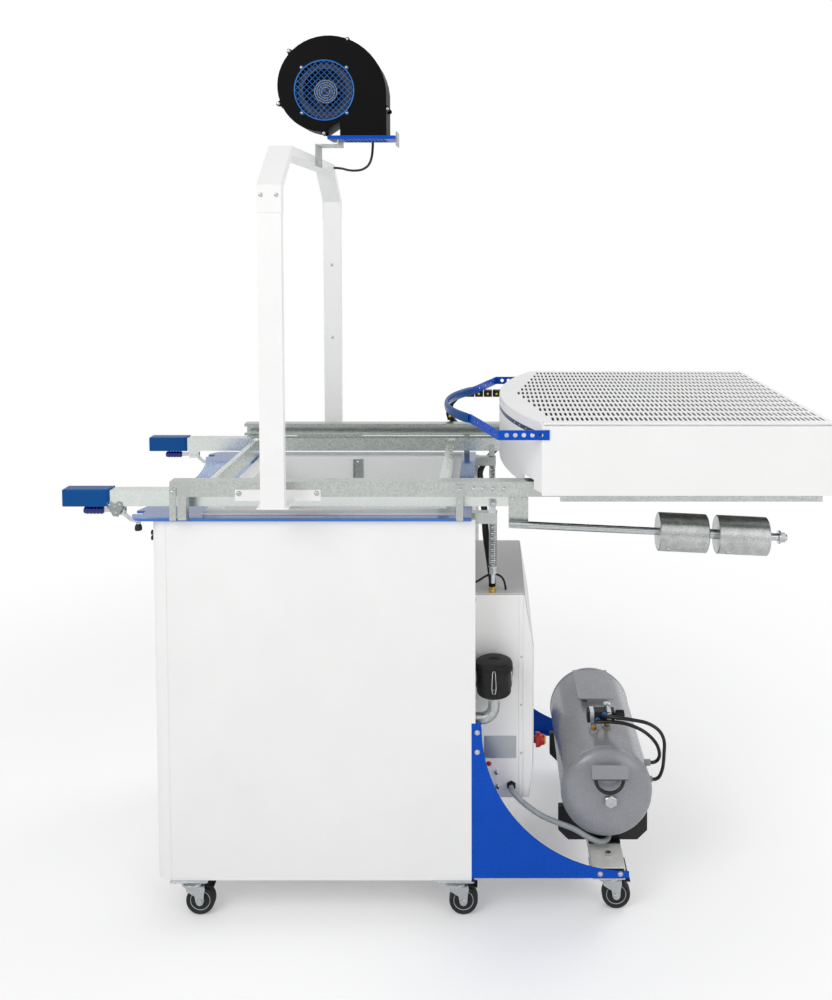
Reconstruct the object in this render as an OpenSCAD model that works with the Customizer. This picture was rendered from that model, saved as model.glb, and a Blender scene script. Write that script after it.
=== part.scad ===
// Floor-standing sheet vacuum former with a sliding heater hood, a counterweighted
// clamp frame, a cooling fan on an arch and a vacuum tank package at the back.
// Origin on the floor at the middle of the footprint, operator at -Y, +X the
// operator's right, +Z up.

/* [Cabinet] */
// Width of the cabinet
cabinet_w = 800; // [790:1:808]
// Distance from the origin to the cabinet's front
cabinet_front = 790; // [784:1:794]
// Distance from the origin to the cabinet's back
cabinet_back = 85; // [84:1:86]
// Height of the cabinet's underside, which is the castors' height
cabinet_base = 114; // [112:1:116]
// Height of the cabinet's top edge
cabinet_top = 1125; // [1122:1:1126]
// Radius of the cabinet's two front corners
cabinet_corner = 40; // [30:1:45]
// Thickness of the cabinet's sheet
sheet_t = 3; // [2.5:0.5:3.5]

/* [Worktop] */
// Width of the worktop
worktop_w = 826; // [820:1:830]
// Thickness of the worktop
worktop_t = 7; // [6:0.5:8]
// Radius of the concave front edge
worktop_scoop = 1073; // [1060:1:1090]
// Width of the forming opening
opening_w = 646; // [640:1:650]
// Distance from the origin to the opening's front edge
opening_front = 608; // [604:1:612]
// Distance from the origin to the opening's rear edge
opening_back = 13; // [10:1:16]
// Depth from the worktop to the floor of the well
well_depth = 330; // [320:1:340]

/* [Rails and arch] */
// Width and height of the rail's section
rail_w = 41; // [40:0.5:42]
// Distance from the middle to the rails' outer faces
rail_out = 427; // [425:1:429]
// Height of the rails' top faces
rail_top = 1237; // [1236:0.5:1238]
// Height of the arch over the floor
arch_top = 2138; // [2130:1:2150]
// Half the width over the arch's legs
arch_half = 516; // [514:1:518]
// Width of the arch's section along the machine
arch_w = 62; // [58:1:66]
// Thickness of the arch's section
arch_t = 25; // [22:1:26]

/* [Hood] */
// Half the width of the heater hood
hood_half = 484; // [483:0.5:486]
// Height of the hood's lid
hood_top = 1408; // [1400:1:1420]
// Distance from the origin to the tip of the hood's nose
hood_nose = 165; // [160:1:170]
// Distance from the origin to the hood's back
hood_back = 1038; // [1030:1:1040]
// Depth of the hood's curved nose
nose_depth = 107; // [100:1:112]
// Thickness of the hood's sheet
hood_t = 2; // [1.5:0.5:2.5]
// Length of one slot in the lid
slot_l = 50; // [44:1:56]
// Width of one slot in the lid
slot_w = 5.5; // [4.5:0.5:6.5]
// Distance between slots along a row
slot_pitch = 26; // [24:0.5:28]
// Distance between rows of slots
row_pitch = 72; // [70:1:74]

/* [Clamp frame] */
// Distance from the middle to the arms' inner faces
arm_in = 328; // [327:0.5:329]
// Width of an arm
arm_w = 40; // [39.5:0.5:40]
// Height of the pivot
pivot_z = 1163; // [1162.5:0.5:1164]
// Distance from the origin to the pivot
pivot_y = 144; // [143:1:145]
// Diameter of a counterweight
weight_d = 104; // [95:1:105]
// Outer diameter of the float springs
spring_d = 23; // [21:1:25]
// Number of turns in a float spring
spring_turns = 23; // [18:1:24]

/* [Fan] */
// Height of the fan's shaft
fan_z = 2336; // [2330:1:2345]
// Radius of the fan's inlet
inlet_r = 92; // [88:1:96]

/* [Vacuum package] */
// Radius of the vacuum tank
tank_r = 129; // [124:1:132]
// Height of the tank's axis
tank_z = 317; // [314:1:320]
// Diameter of the castor wheels
wheel_d = 80; // [78:1:82]

/* [Hidden] */
// Pull handle of the hood
handle_t = 3;
handle_x = hood_half + handle_t;
handle_side_y = 157;
handle_back = 292;
handle_bend = [256, 80];
handle_bow_r = (pow(handle_bend[0], 2) + pow(handle_bend[1], 2)) / (2 * handle_bend[1]);
handle_steps = 12;
handle_mitre_share = 0.72;

$fn = 48;
// How far a cut runs past the face it opens
over = 1;
// Running clearance of a shaft in its bore, on the radius
run_fit = 0.05;
// Gap between bodies that pass each other
slip = 0.5;

cabinet_half = cabinet_w / 2;
worktop_half = worktop_w / 2;
worktop_z = [cabinet_top, cabinet_top + worktop_t];
opening_half = opening_w / 2;
opening_y = [-opening_front, opening_back];
well_floor = worktop_z[1] - well_depth;
rail_x = [rail_out - rail_w, rail_out];
rail_z = [rail_top - rail_w, rail_top];
rail_y = [-724, 1000];
strap_y = [45, 64];
strap_t = 4;
post_y = [-724, -706];
foot_y = [-547, -318];
arch_y = [-460, -460 + arch_w];
arch_bend_z = 2027;
arch_slope = 150;
hood_wall_z = [1214, hood_top - hood_t];
hood_sides_y = hood_nose + nose_depth;
nose_r = (hood_half * hood_half + nose_depth * nose_depth) / (2 * nose_depth);
nose_skirt = 28;
band_h = 12;
skirt_z = hood_top - nose_skirt;
band_z = [skirt_z - band_h, skirt_z];
handle_z = [1362, 1388];
chain_x = [-477, -443];
chain_z = [1194, 1344];
chain_r = (chain_z[1] - chain_z[0]) / 2;
chain_t = 22;
chain_bend_y = 55;
chain_end_y = 270;
arm_x = [arm_in, arm_in + arm_w];
arm_z = [1154, 1198];
arm_y = [-907, 240];
grip_y = [-1038, -907];
stud_x = 345;
pivot_bar_z = [1102, 1132];
pivot_bar_y = [86, 156];
pin_r = 5;
stud_r = 5.5;
spring_z = [981, pivot_bar_z[0]];
rod_r = 10;
rod_front = [384, 187, 1109];
rod_back = [384, 947, 1072];
rod_slope = atan2(rod_front[2] - rod_back[2], rod_back[1] - rod_front[1]);
rod_l = norm(rod_back - rod_front);
toggle_x = 348;
toggle_base_z = 1147;
lever_pin = [-896, 1137];
arm_pin = [-880, 1138];
fan_y = -367;
fan_x = [-100, 20];
fan_foot_z = 2200;
scroll_small = 125;
scroll_big = 188;
box_x = [-200, 295];
box_back_y = 258;
stop_place = [220, 420];
button_x = 330;
button_z = [1055, 1070];
gusset_y = 521;
gusset_z = [cabinet_base + 6, 559];
channel_y = [420, 511];
channel_z = [cabinet_base, 149];
tank_y = 468;
tank_x = [-240, 350];
tank_dome = 40;
boss_top = tank_z + tank_r + 4;
valve_place = [194, 481];
stub_place = [215, 440];
knob_place = [216, tank_z + tank_r + 46];
filter_place = [350, 147];
filter_z = [622, 690, 715];
wheel_r = wheel_d / 2;
wheel_w = 30;
trail = 22;
castor_plate_t = 4;
castor_x = 365;
tray_castor_x = 340;
castors = [
    [castor_x, -696], [castor_x, 40], [tray_castor_x, 470],
    [-castor_x, -696], [-castor_x, 40], [-tray_castor_x, 470]
];

// Forming table, its lifting cylinder and the well's catch
table_mid_y = (opening_y[0] + opening_y[1]) / 2;
table_z = [905, 930];
table_gap = 4;
ram_r = 45;
piston_r = 16;
catch_y = [-334, -300];
catch_z = [1055, 1128];
catch_lip = 14;

// Shaft of the fan
shaft_r = 7;

// Heater tray
tray_half = 372;
tray_y = [300, 1008];
tray_z = [1290, chain_z[1] + 6];

// Clevises of the floating hinge
clevis_base_z = [1136, 1140];
clevis_y = [132, 152];
cheek_t = 3.5;
cheek_gap = 0.5;

// Pins and bars of the toggle clamps
toggle_pin_r = 2.5;
toggle_bar_t = 5;

// Stems of the buttons and the regulator's knob
stop_stem_r = 10;
button_stem_r = 6;
knob_stem_r = 5;

// Routes of the cables and hoses
fan_cable_route = [
    [-100, -236, 2195], [-110, -236, 2195], [-126, -238, 2176], [-160, -246, 2146],
    [-200, -262, 2124], [-240, -288, 2113], [-275, -318, 2112], [-305, -344, 2116],
    [-332, -364, 2122], [-350, -380, 2125], [-353, -390, 2126], [-353, -398, 2126]
];
loom_route = [
    [280, 142, 900], [280, 142, 914], [278, 138, 945], [270, 132, 985],
    [240, 126, 1020], [180, 122, 1042], [100, 120, 1056], [10, 116, 1066],
    [-90, 112, 1073], [-190, 107, 1076], [-280, 103, 1076], [-345, 102, 1074],
    [-392, 108, 1082], [-428, 128, 1106], [-450, 162, 1138], [-458, 200, 1163],
    [-460, 214, 1179], [-460, 214, 1190]
];
curl_route = [
    [262, 180, 880], [262, 180, 892], [262, 172, 916], [262, 152, 928],
    [262, 128, 924], [262, 108, 912], [262, 95, 905], [262, 85, 905]
];
upper_hose_route = [
    [232, 470, 500], [242, 470, 500], [258, 500, 505], [268, 545, 503],
    [275, 590, 496], [279, 622, 476], [280, 636, 446], [280, 636, 408],
    [273, 635, 372], [266, 631, 346], [263, 624, 330], [262, 614, 324], [262, 606, 324]
];
lower_hose_route = [
    [232, 450, 484], [242, 450, 484], [250, 484, 488], [256, 526, 486],
    [262, 566, 474], [264, 594, 456], [262, 616, 430], [256, 626, 404],
    [247, 628, 382], [242, 622, 368], [240, 612, 362], [240, 604, 362]
];
loop_hose_route = [
    [364, 432, 383], [364, 432, 372], [368, 440, 358], [371, 454, 349],
    [372, 470, 346], [371, 486, 349], [368, 500, 358], [364, 508, 372],
    [364, 508, 383]
];
grey_hose_route = [
    [305, 197, 325], [318, 197, 325], [330, 210, 314], [334, 240, 288],
    [335, 280, 260], [335, 325, 240], [335, 375, 220], [332, 415, 194],
    [322, 448, 175], [302, 470, 168], [284, 478, 167], [270, 478, 167]
];

module block(x, y, z) {
    translate([x[0], y[0], z[0]])
        cube([x[1] - x[0], y[1] - y[0], z[1] - z[0]]);
}

module bar_x(x, y, z, r) {
    translate([x[0], y, z])
        rotate([0, 90, 0])
            cylinder(h = x[1] - x[0], r = r);
}

module bar_y(x, y, z, r) {
    translate([x, y[0], z])
        rotate([-90, 0, 0])
            cylinder(h = y[1] - y[0], r = r);
}

module bar_z(x, y, z, r) {
    translate([x, y, z[0]])
        cylinder(h = z[1] - z[0], r = r);
}

module both_sides() {
    children();
    mirror([1, 0, 0])
        children();
}

// Lays a profile drawn in Y and Z along X
module along_x(x) {
    translate([x[0], 0, 0])
        rotate([90, 0, 90])
            linear_extrude(x[1] - x[0])
                children();
}

// Round tube swept through a list of points, with its ends closed
function unit(v) = v / norm(v);
function tangent(p, i) = unit(p[min(i + 1, len(p) - 1)] - p[max(i - 1, 0)]);
function squared(n, t) = unit(n - (n * t) * t);
function carried(p) = [
    for (i = 0, n = squared([0.31, 0.27, 0.91], tangent(p, 0));
         i < len(p);
         i = i + 1, n = squared(n, tangent(p, min(i, len(p) - 1)))) n
];
module swept(p, r, sides) {
    normals = carried(p);
    rings = [
        for (i = [0 : len(p) - 1])
            let (n = normals[i], b = cross(tangent(p, i), n))
                for (k = [0 : sides - 1])
                    p[i] + r * (cos(360 * k / sides) * n + sin(360 * k / sides) * b)
    ];
    last = (len(p) - 1) * sides;
    walls = [
        for (i = [0 : len(p) - 2])
            for (k = [0 : sides - 1])
                let (a = i * sides + k, b = i * sides + (k + 1) % sides)
                    [a, a + sides, b + sides, b]
    ];
    caps = [
        [for (k = [0 : sides - 1]) k],
        [for (k = [0 : sides - 1]) last + sides - 1 - k]
    ];
    polyhedron(points = rings, faces = concat(walls, caps));
}

// Block whose two front corners are rounded
module round_front(half, front, back, r, z) {
    block([-half, half], [front + r, back], z);
    block([-half + r, half - r], [front, back], z);
    for (side = [-1, 1])
        bar_z(side * (half - r), front + r, z, r);
}

// Cabinet shell, open at the top
module cabinet() {
    front = -cabinet_front;
    seam_y = [-746, -744];
    seam_t = 1;
    flange_w = 20;
    flange_t = 11;
    color("white") {
        difference() {
            round_front(cabinet_half, front, cabinet_back, cabinet_corner, [cabinet_base, cabinet_top]);
            round_front(cabinet_half - sheet_t, front + sheet_t, cabinet_back - sheet_t,
                cabinet_corner - sheet_t, [cabinet_base + sheet_t, cabinet_top + over]);
            both_sides()
                block([cabinet_half - seam_t, cabinet_half + over], seam_y,
                    [cabinet_base - over, cabinet_top + over]);
            for (z = button_z)
                bar_y(button_x, [front - over, front + sheet_t + over], z, button_stem_r + run_fit);
        }
        both_sides()
            block([cabinet_half - flange_w, cabinet_half], [cabinet_back, cabinet_back + flange_t],
                [gusset_z[1], cabinet_top]);
    }
}

// Worktop with two horns at the front and the forming opening
module worktop() {
    front = -845;
    corner = 45;
    scoop_y = -793 - worktop_scoop;
    notch_x = [toggle_x - 12, toggle_x + 18];
    notch_y = -820;
    cut = [worktop_z[0] - over, worktop_z[1] + over];
    color("royalblue")
        difference() {
            round_front(worktop_half, front, pivot_bar_y[0], corner, worktop_z);
            translate([0, scoop_y, cut[0]])
                cylinder(h = cut[1] - cut[0], r = worktop_scoop);
            block([-opening_half - sheet_t, opening_half + sheet_t],
                [opening_y[0] - sheet_t, opening_y[1] + sheet_t], cut);
            both_sides()
                block(notch_x, [front - over, notch_y], cut);
        }
}

// Liner of the forming well with the seal flange on the worktop
module well_liner() {
    flange = [375, -655, 40];
    wall = [opening_half, opening_half + sheet_t];
    z = [well_floor, worktop_z[1] + sheet_t];
    color("white")
        difference() {
            union() {
                block([-wall[1], wall[1]], [opening_y[0] - sheet_t, opening_y[1] + sheet_t], z);
                block([-flange[0], flange[0]], [flange[1], flange[2]], [worktop_z[1], z[1]]);
            }
            block([-wall[0], wall[0]], opening_y, [z[0] + sheet_t, z[1] + over]);
            bar_z(0, table_mid_y, [z[0] - over, z[0] + sheet_t + over], ram_r + slip);
        }
}

// Catch bracket on the well's far wall
module table_catch() {
    plate_t = 3;
    knob_r = 6;
    wall = -opening_half;
    block([wall, wall + plate_t], catch_y, catch_z);
    block([wall, wall + catch_lip], catch_y, [catch_z[0], catch_z[0] + plate_t]);
    block([wall, wall + catch_lip], [catch_y[0], catch_y[0] + plate_t], catch_z);
    bar_x([wall + plate_t, wall + catch_lip], (catch_y[0] + catch_y[1]) / 2, catch_z[1] - 2 * knob_r, knob_r);
}

// Lifting cylinder that carries the forming table
module table_ram() {
    z = [560, well_floor + 40];
    foot_half = 70;
    foot_t = 12;
    beam_t = 20;
    color("gray")
        difference() {
            union() {
                bar_z(0, table_mid_y, z, ram_r);
                block([-foot_half, foot_half], [table_mid_y - foot_half, table_mid_y + foot_half],
                    [z[0] - foot_t, z[0]]);
                block([-cabinet_half + sheet_t, cabinet_half - sheet_t],
                    [table_mid_y - foot_half, table_mid_y + foot_half],
                    [z[0] - foot_t - beam_t, z[0] - foot_t]);
            }
            bar_z(0, table_mid_y, [z[0] + beam_t, z[1] + over], piston_r + run_fit);
        }
}

// Forming table on its piston rod
module forming_table() {
    half = opening_half - table_gap;
    y = [opening_y[0] + table_gap, opening_y[1] - table_gap];
    vent_r = 4;
    vent_pitch = 110;
    rib_h = 20;
    rib_inset = 60;
    rib_t = 20;
    color("silver")
        difference() {
            union() {
                block([-half, half], y, table_z);
                both_sides()
                    block([half - rib_inset - rib_t, half - rib_inset],
                        [y[0] + rib_inset, y[1] - rib_inset], [table_z[0] - rib_h, table_z[0]]);
                bar_z(0, table_mid_y, [620, table_z[0]], piston_r);
            }
            block([-half - over, -opening_half + catch_lip + table_gap],
                [catch_y[0] - table_gap, catch_y[1] + table_gap],
                [table_z[0] - over, table_z[1] + over]);
            for (i = [-2 : 2], k = [-2 : 2])
                if (i != 0 || k != 0)
                    bar_z(i * vent_pitch, table_mid_y + k * vent_pitch,
                        [table_z[0] - rib_h - over, table_z[1] + over], vent_r);
        }
}

// Two strut rails and the trough for the energy chain
module slide_rails() {
    wall = 2.5;
    lip = 10;
    trough_x = [-480, -439];
    trough_y = [-560, 275];
    trough_z = [chain_z[0] - 4, chain_z[0] - run_fit];
    bracket_t = 6;
    bracket_w = 24;
    color("silver") {
        both_sides()
            difference() {
                block(rail_x, rail_y, rail_z);
                block([rail_x[0] + wall, rail_x[1] - wall], [rail_y[0] - over, rail_y[1] + over],
                    [rail_z[0] + wall, rail_z[1] - wall]);
                block([rail_x[0] - over, rail_x[0] + wall + over], [rail_y[0] - over, rail_y[1] + over],
                    [rail_z[0] + lip, rail_z[1] - lip]);
            }
        block(trough_x, trough_y, trough_z);
        block([trough_x[1] - wall, trough_x[1]], trough_y, [trough_z[0], rail_z[0] + 2 * bracket_t]);
        for (y = [-260, -40, 200])
            block([trough_x[1], -rail_x[1]], [y, y + bracket_w],
                [rail_z[0] + bracket_t, rail_z[0] + 2 * bracket_t]);
    }
}

// Posts and straps that stand the rails on the worktop, and the pivot bars
module rail_posts() {
    foot_t = 4;
    foot_x = 392;
    leg_x = [402, rail_x[1]];
    leg_y = [-703, -680];
    top_front = 1221;
    top_rear = 1229;
    bar_half = 15;
    bar_x_mid = stud_x - 3;
    color("silver") {
        both_sides() {
            block([rail_x[1], rail_x[1] + strap_t], post_y, [worktop_z[1], top_front]);
            block([foot_x, rail_x[1] + strap_t], post_y, [worktop_z[1], worktop_z[1] + foot_t]);
            block(leg_x, leg_y, [worktop_z[1], rail_z[0]]);
            block([rail_x[1], rail_x[1] + strap_t], strap_y, [worktop_z[1], top_rear]);
            block([foot_x, rail_x[1] + strap_t], strap_y, [worktop_z[1], worktop_z[1] + foot_t]);
            block(leg_x, strap_y, [worktop_z[1], rail_z[0]]);
            difference() {
                block([bar_x_mid - bar_half, bar_x_mid + bar_half], pivot_bar_y, pivot_bar_z);
                bar_z(stud_x, pivot_y, [pivot_bar_z[0] - over, pivot_bar_z[1] + over], stud_r + run_fit);
            }
            block([bar_x_mid - bar_half, bar_x_mid + bar_half], [cabinet_back, pivot_bar_y[0]],
                [pivot_bar_z[0] - bar_half, cabinet_top]);
        }
    }
}

// Arch of folded box section that carries the cooling fan
module arch() {
    outer = [
        [-arch_half, rail_z[0] - 6], [-arch_half, arch_bend_z], [-arch_half + arch_slope, arch_top],
        [arch_half - arch_slope, arch_top], [arch_half, arch_bend_z], [arch_half, rail_z[0] - 6]
    ];
    bend_in = arch_t * tan(atan2(arch_slope, arch_top - arch_bend_z) / 2);
    top_in = arch_t * tan((90 - atan2(arch_slope, arch_top - arch_bend_z)) / 2);
    inner = [
        [arch_half - arch_t, rail_z[0] - 6], [arch_half - arch_t, arch_bend_z - bend_in],
        [arch_half - arch_slope - top_in, arch_top - arch_t],
        [-arch_half + arch_slope + top_in, arch_top - arch_t],
        [-arch_half + arch_t, arch_bend_z - bend_in], [-arch_half + arch_t, rail_z[0] - 6]
    ];
    web_z = [rail_z[0] - 10, rail_z[0] - 6];
    web_y = [arch_y[0] - 10, arch_y[1] + 10];
    flange_z = [rail_z[0] - 10, 1216];
    color("white") {
        translate([0, arch_y[1], 0])
            rotate([90, 0, 0])
                linear_extrude(arch_w)
                    polygon(concat(outer, inner));
        both_sides() {
            block([rail_x[1], arch_half], web_y, web_z);
            block([rail_x[1], rail_x[1] + strap_t], foot_y, flange_z);
        }
    }
}

module head_x(x, y, z, r) {
    bar_x([x, x + 4], y, z, r);
}

// Bolt heads, castor plates and catch of the fixed frame
module fasteners() {
    plate_w = 85;
    plate_l = 104;
    r = 7;
    small_r = 5;
    head_t = 4;
    bend_z = 2000;
    beam_x = [-78, -6];
    beam_z = 2119;
    color("silver") {
        both_sides() {
            for (y = [91, 116, 144, 173])
                head_x(rail_x[1], y, 1217, small_r);
            for (y = [-537, -328])
                head_x(rail_x[1] + strap_t, y, 1206, small_r);
            head_x(rail_x[1] + strap_t, (strap_y[0] + strap_y[1]) / 2, 1215, small_r);
            head_x(rail_x[1] + strap_t, (post_y[0] + post_y[1]) / 2, 1209, small_r);
            for (y = [-449, -409])
                head_x(arch_half, y, bend_z, r);
            for (z = [478, 533])
                head_x(cabinet_half, 101, z, small_r);
            for (y = [441, 497])
                head_x(cabinet_half, y, 132, small_r);
        }
        for (x = beam_x)
            bar_y(x, [arch_y[1] + strap_t, arch_y[1] + strap_t + head_t], beam_z, small_r);
        table_catch();
        for (c = castors)
            block([c[0] - plate_w / 2, c[0] + plate_w / 2], [c[1] - plate_l / 2, c[1] + plate_l / 2],
                [cabinet_base - castor_plate_t, cabinet_base]);
    }
}

// Galvanised bracket between the arch's beam and the fan
module fan_bracket() {
    plate_x = [-95, 12];
    upright_z = [2108, 2171];
    shelf_y = [arch_y[1], -326];
    shelf_z = [2171, 2175];
    riser_y = [-330, -326];
    riser_z = 2189;
    end_y = [-153, -149];
    end_z = [2171, 2214];
    color("silver") {
        block(plate_x, [arch_y[1], arch_y[1] + strap_t], upright_z);
        block(plate_x, shelf_y, shelf_z);
        block(plate_x, riser_y, [shelf_z[0], riser_z]);
        block([fan_x[0] + 20, fan_x[1] - 20], end_y, end_z);
    }
}

// Spiral outline of the fan casing, drawn in Y and Z about the shaft
function scroll(inset) = [
    for (a = [0 : 7.5 : 270])
        let (r = scroll_small + (scroll_big - scroll_small) * pow(1 - a / 270, 1.2) - inset)
            [r * cos(a), r * sin(a)]
];

module scroll_form(x, inset, foot) {
    outlet_y = [-320, fan_y + scroll_big];
    along_x(x)
        translate([fan_y, fan_z])
            polygon(scroll(inset));
    block(x, [outlet_y[0] + inset, outlet_y[1] - inset], [foot, fan_z]);
}

// Scroll casing of the blower with its motor behind
module fan_casing() {
    t = 3;
    motor_x = [-190, fan_x[0]];
    motor_r = 62;
    lug_r = 7;
    lug_x = [-46, -34];
    lugs = [[-474, 2451], [-297, 2486], [-502, 2295], [-175, 2278], [-370, 2210]];
    color("black") {
        difference() {
            union() {
                scroll_form(fan_x, 0, fan_foot_z);
                for (p = lugs)
                    bar_x(lug_x, p[0], p[1], lug_r);
            }
            scroll_form([fan_x[0] + t, fan_x[1] - t], t, fan_foot_z - over);
            bar_x([fan_x[1] - t - over, fan_x[1] + over], fan_y, fan_z, inlet_r - 6);
            bar_x([fan_x[0] - over, fan_x[0] + t + over], fan_y, fan_z, shaft_r + 2);
        }
        difference() {
            bar_x(motor_x, fan_y, fan_z, motor_r);
            bar_x([motor_x[1] - 40, motor_x[1] + over], fan_y, fan_z, shaft_r + run_fit);
        }
    }
}

// Impeller of the blower
module fan_impeller() {
    blades = 24;
    wheel_x = [-70, 8];
    outer_r = 84;
    inner_r = 66;
    plate_t = 3;
    hub_r = 37;
    blade_t = 1.6;
    color("dimgray") {
        bar_x([wheel_x[0], wheel_x[0] + plate_t], fan_y, fan_z, outer_r);
        difference() {
            bar_x([wheel_x[1] - plate_t, wheel_x[1]], fan_y, fan_z, outer_r);
            bar_x([wheel_x[1] - plate_t - over, wheel_x[1] + over], fan_y, fan_z, inner_r);
        }
        bar_x([wheel_x[0], wheel_x[1] - 20], fan_y, fan_z, hub_r);
        bar_x([fan_x[0] - 38, wheel_x[0]], fan_y, fan_z, shaft_r);
        for (i = [0 : blades - 1])
            translate([wheel_x[0], fan_y, fan_z])
                rotate([360 * i / blades, 0, 0])
                    translate([0, inner_r + 1, 0])
                        cube([wheel_x[1] - wheel_x[0] - 1, outer_r - inner_r - 2, blade_t]);
    }
}

// Guards on the fan's inlet and outlet
module fan_guards() {
    t = 3;
    rim = 8;
    pitch = 18;
    bar = 3.5;
    ear = 22;
    ear_t = 2.4;
    frame_y = [-359, -153];
    frame_z = [fan_foot_z - 11, fan_foot_z];
    duct_y = [-316, -183];
    duct_x = [fan_x[0] + 6, fan_x[1] - 6];
    slat_t = 4;
    slat_pitch = 19;
    color("royalblue") {
        difference() {
            bar_x([fan_x[1], fan_x[1] + t], fan_y, fan_z, inlet_r);
            bar_x([fan_x[1] - over, fan_x[1] + t + over], fan_y, fan_z, inlet_r - rim);
        }
        for (a = [45 : 90 : 315])
            translate([fan_x[1], fan_y, fan_z])
                rotate([a, 0, 0])
                    translate([0, inlet_r - rim / 4, -ear / 4])
                        cube([ear_t, ear / 2 + rim / 4, ear / 2]);
        for (turn = [45, 135], i = [-4 : 4])
            translate([fan_x[1] + (turn == 45 ? 0 : t / 2), fan_y, fan_z])
                rotate([turn, 0, 0]) {
                    reach = sqrt(pow(inlet_r - rim / 2, 2) - pow(i * pitch, 2)) - abs(i) / 2;
                    translate([0, -reach, i * pitch - bar / 2])
                        cube([t / 2, 2 * reach, bar]);
                }
        difference() {
            block(fan_x, frame_y, frame_z);
            block(duct_x, duct_y, [frame_z[0] - over, frame_z[1] + over]);
        }
        for (y = [duct_y[0] + slat_pitch / 2 : slat_pitch : duct_y[1] - slat_t])
            block(duct_x, [y, y + slat_t], [frame_z[0], frame_z[0] + slat_t]);
    }
}

module fan_cable() {
    cable_r = 4;
    color("black")
        swept(fan_cable_route, cable_r, 8);
}

// Plan of the hood, taken in by an inset, as a prism
module hood_prism(inset, z) {
    half = hood_half - inset;
    back = hood_back - inset;
    h = z[1] - z[0];
    intersection() {
        block([-half, half], [hood_nose, back], z);
        union() {
            block([-half, half], [hood_sides_y, back], z);
            translate([0, hood_nose + nose_r, z[0]])
                cylinder(h = h, r = nose_r - inset);
        }
    }
}

// Walls of the hood, open below
module hood_body() {
    notch_x = [rail_x[0] - 9, rail_x[1] + 14];
    notch_z = [hood_wall_z[0] - over, rail_top + 9];
    nose_bottom = 1221;
    color("white")
        difference() {
            hood_prism(0, hood_wall_z);
            hood_prism(hood_t, [hood_wall_z[0] - over, hood_wall_z[1] + over]);
            block([-hood_half - over, hood_half + over], [hood_nose - over, hood_sides_y],
                [band_z[0], hood_wall_z[1] + over]);
            block([-hood_half - over, hood_half + over], [hood_nose - over, hood_sides_y],
                [hood_wall_z[0] - over, nose_bottom]);
            both_sides()
                block(notch_x, [hood_nose - over, hood_back + over], notch_z);
            block([chain_x[0] - 4, chain_x[1] + 6], [hood_nose - over, hood_sides_y + 30],
                [hood_wall_z[0] - over, chain_z[1] + 8]);
        }
}

// Perforated lid with the skirt round the nose
module hood_lid() {
    rows = 6;
    row_step = slot_pitch / 2;
    last_y = hood_back - 14;
    first_y = hood_nose + 58;
    z = [hood_wall_z[1], hood_top];
    color("white") {
        difference() {
            hood_prism(0, z);
            for (row = [-rows : rows])
                for (y = [first_y + row_step * abs(row) : slot_pitch : last_y])
                    block([row * row_pitch - slot_l / 2, row * row_pitch + slot_l / 2],
                        [y - slot_w / 2, y + slot_w / 2], [z[0] - over, z[1] + over]);
        }
        difference() {
            hood_prism(0, [skirt_z, z[0]]);
            hood_prism(hood_t, [skirt_z - over, z[0] + over]);
            block([-hood_half - over, hood_half + over], [hood_sides_y, hood_back + over],
                [skirt_z - over, z[0] + over]);
        }
    }
}

// Dark band under the lid's skirt
module hood_band() {
    inset = 0.5;
    t = 3;
    color("midnightblue")
        difference() {
            hood_prism(inset, band_z);
            hood_prism(inset + t, [band_z[0] - over, band_z[1] + over]);
            block([-hood_half - over, hood_half + over], [hood_sides_y, hood_back + over],
                [band_z[0] - over, band_z[1] + over]);
        }
}

// Bottom strips, cross angles and glide blocks that carry the hood on the rails
module hood_carriage() {
    strip_x = [hood_half - hood_t - 3, hood_half - hood_t];
    strip_y = [320, 1010];
    strip_z = [1198, 1240];
    angle_z = [chain_z[1] + 6, chain_z[1] + 10];
    hanger_x = [rail_x[1] + 2, rail_x[1] + 5];
    glide_z = [rail_top + slip, rail_top + 26];
    glide_l = 40;
    wall_x = hood_half - hood_t;
    color("silver") {
        both_sides()
            block(strip_x, strip_y, strip_z);
        for (y = [340, 960]) {
            block([-wall_x, wall_x], [y, y + glide_l], angle_z);
            both_sides() {
                block(hanger_x, [y, y + glide_l], [glide_z[0] + 4, angle_z[0]]);
                block([rail_x[0] + 3, hanger_x[0]], [y, y + glide_l], glide_z);
            }
        }
    }
}

// Bow of the pull handle, by steps from its left to its right bend
function handle_bow(inset) = [
    for (i = [-handle_steps : handle_steps])
        let (a = i / handle_steps * asin(handle_bend[0] / handle_bow_r))
            [(handle_bow_r - inset) * sin(a), handle_bow_r - (handle_bow_r - inset) * cos(a)]
];

// Plan of the pull handle's outer face, or of its inner face with an inset
function handle_plan(inset, back) = concat(
    [[-handle_x + inset, back], [-handle_x + inset, handle_side_y + inset * handle_mitre_share]],
    handle_bow(inset),
    [[handle_x - inset, handle_side_y + inset * handle_mitre_share], [handle_x - inset, back]]
);

// Row of holes across a straight strip of the handle
module handle_holes(from, to, count) {
    hole_r = 6;
    run = to - from;
    for (i = [1 : count])
        translate([from[0] + run[0] * i / (count + 1), from[1] + run[1] * i / (count + 1),
                (handle_z[0] + handle_z[1]) / 2])
            rotate([0, 0, atan2(run[1], run[0])])
                rotate([90, 0, 0])
                    cylinder(h = 4 * handle_t, r = hole_r, center = true);
}

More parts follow.
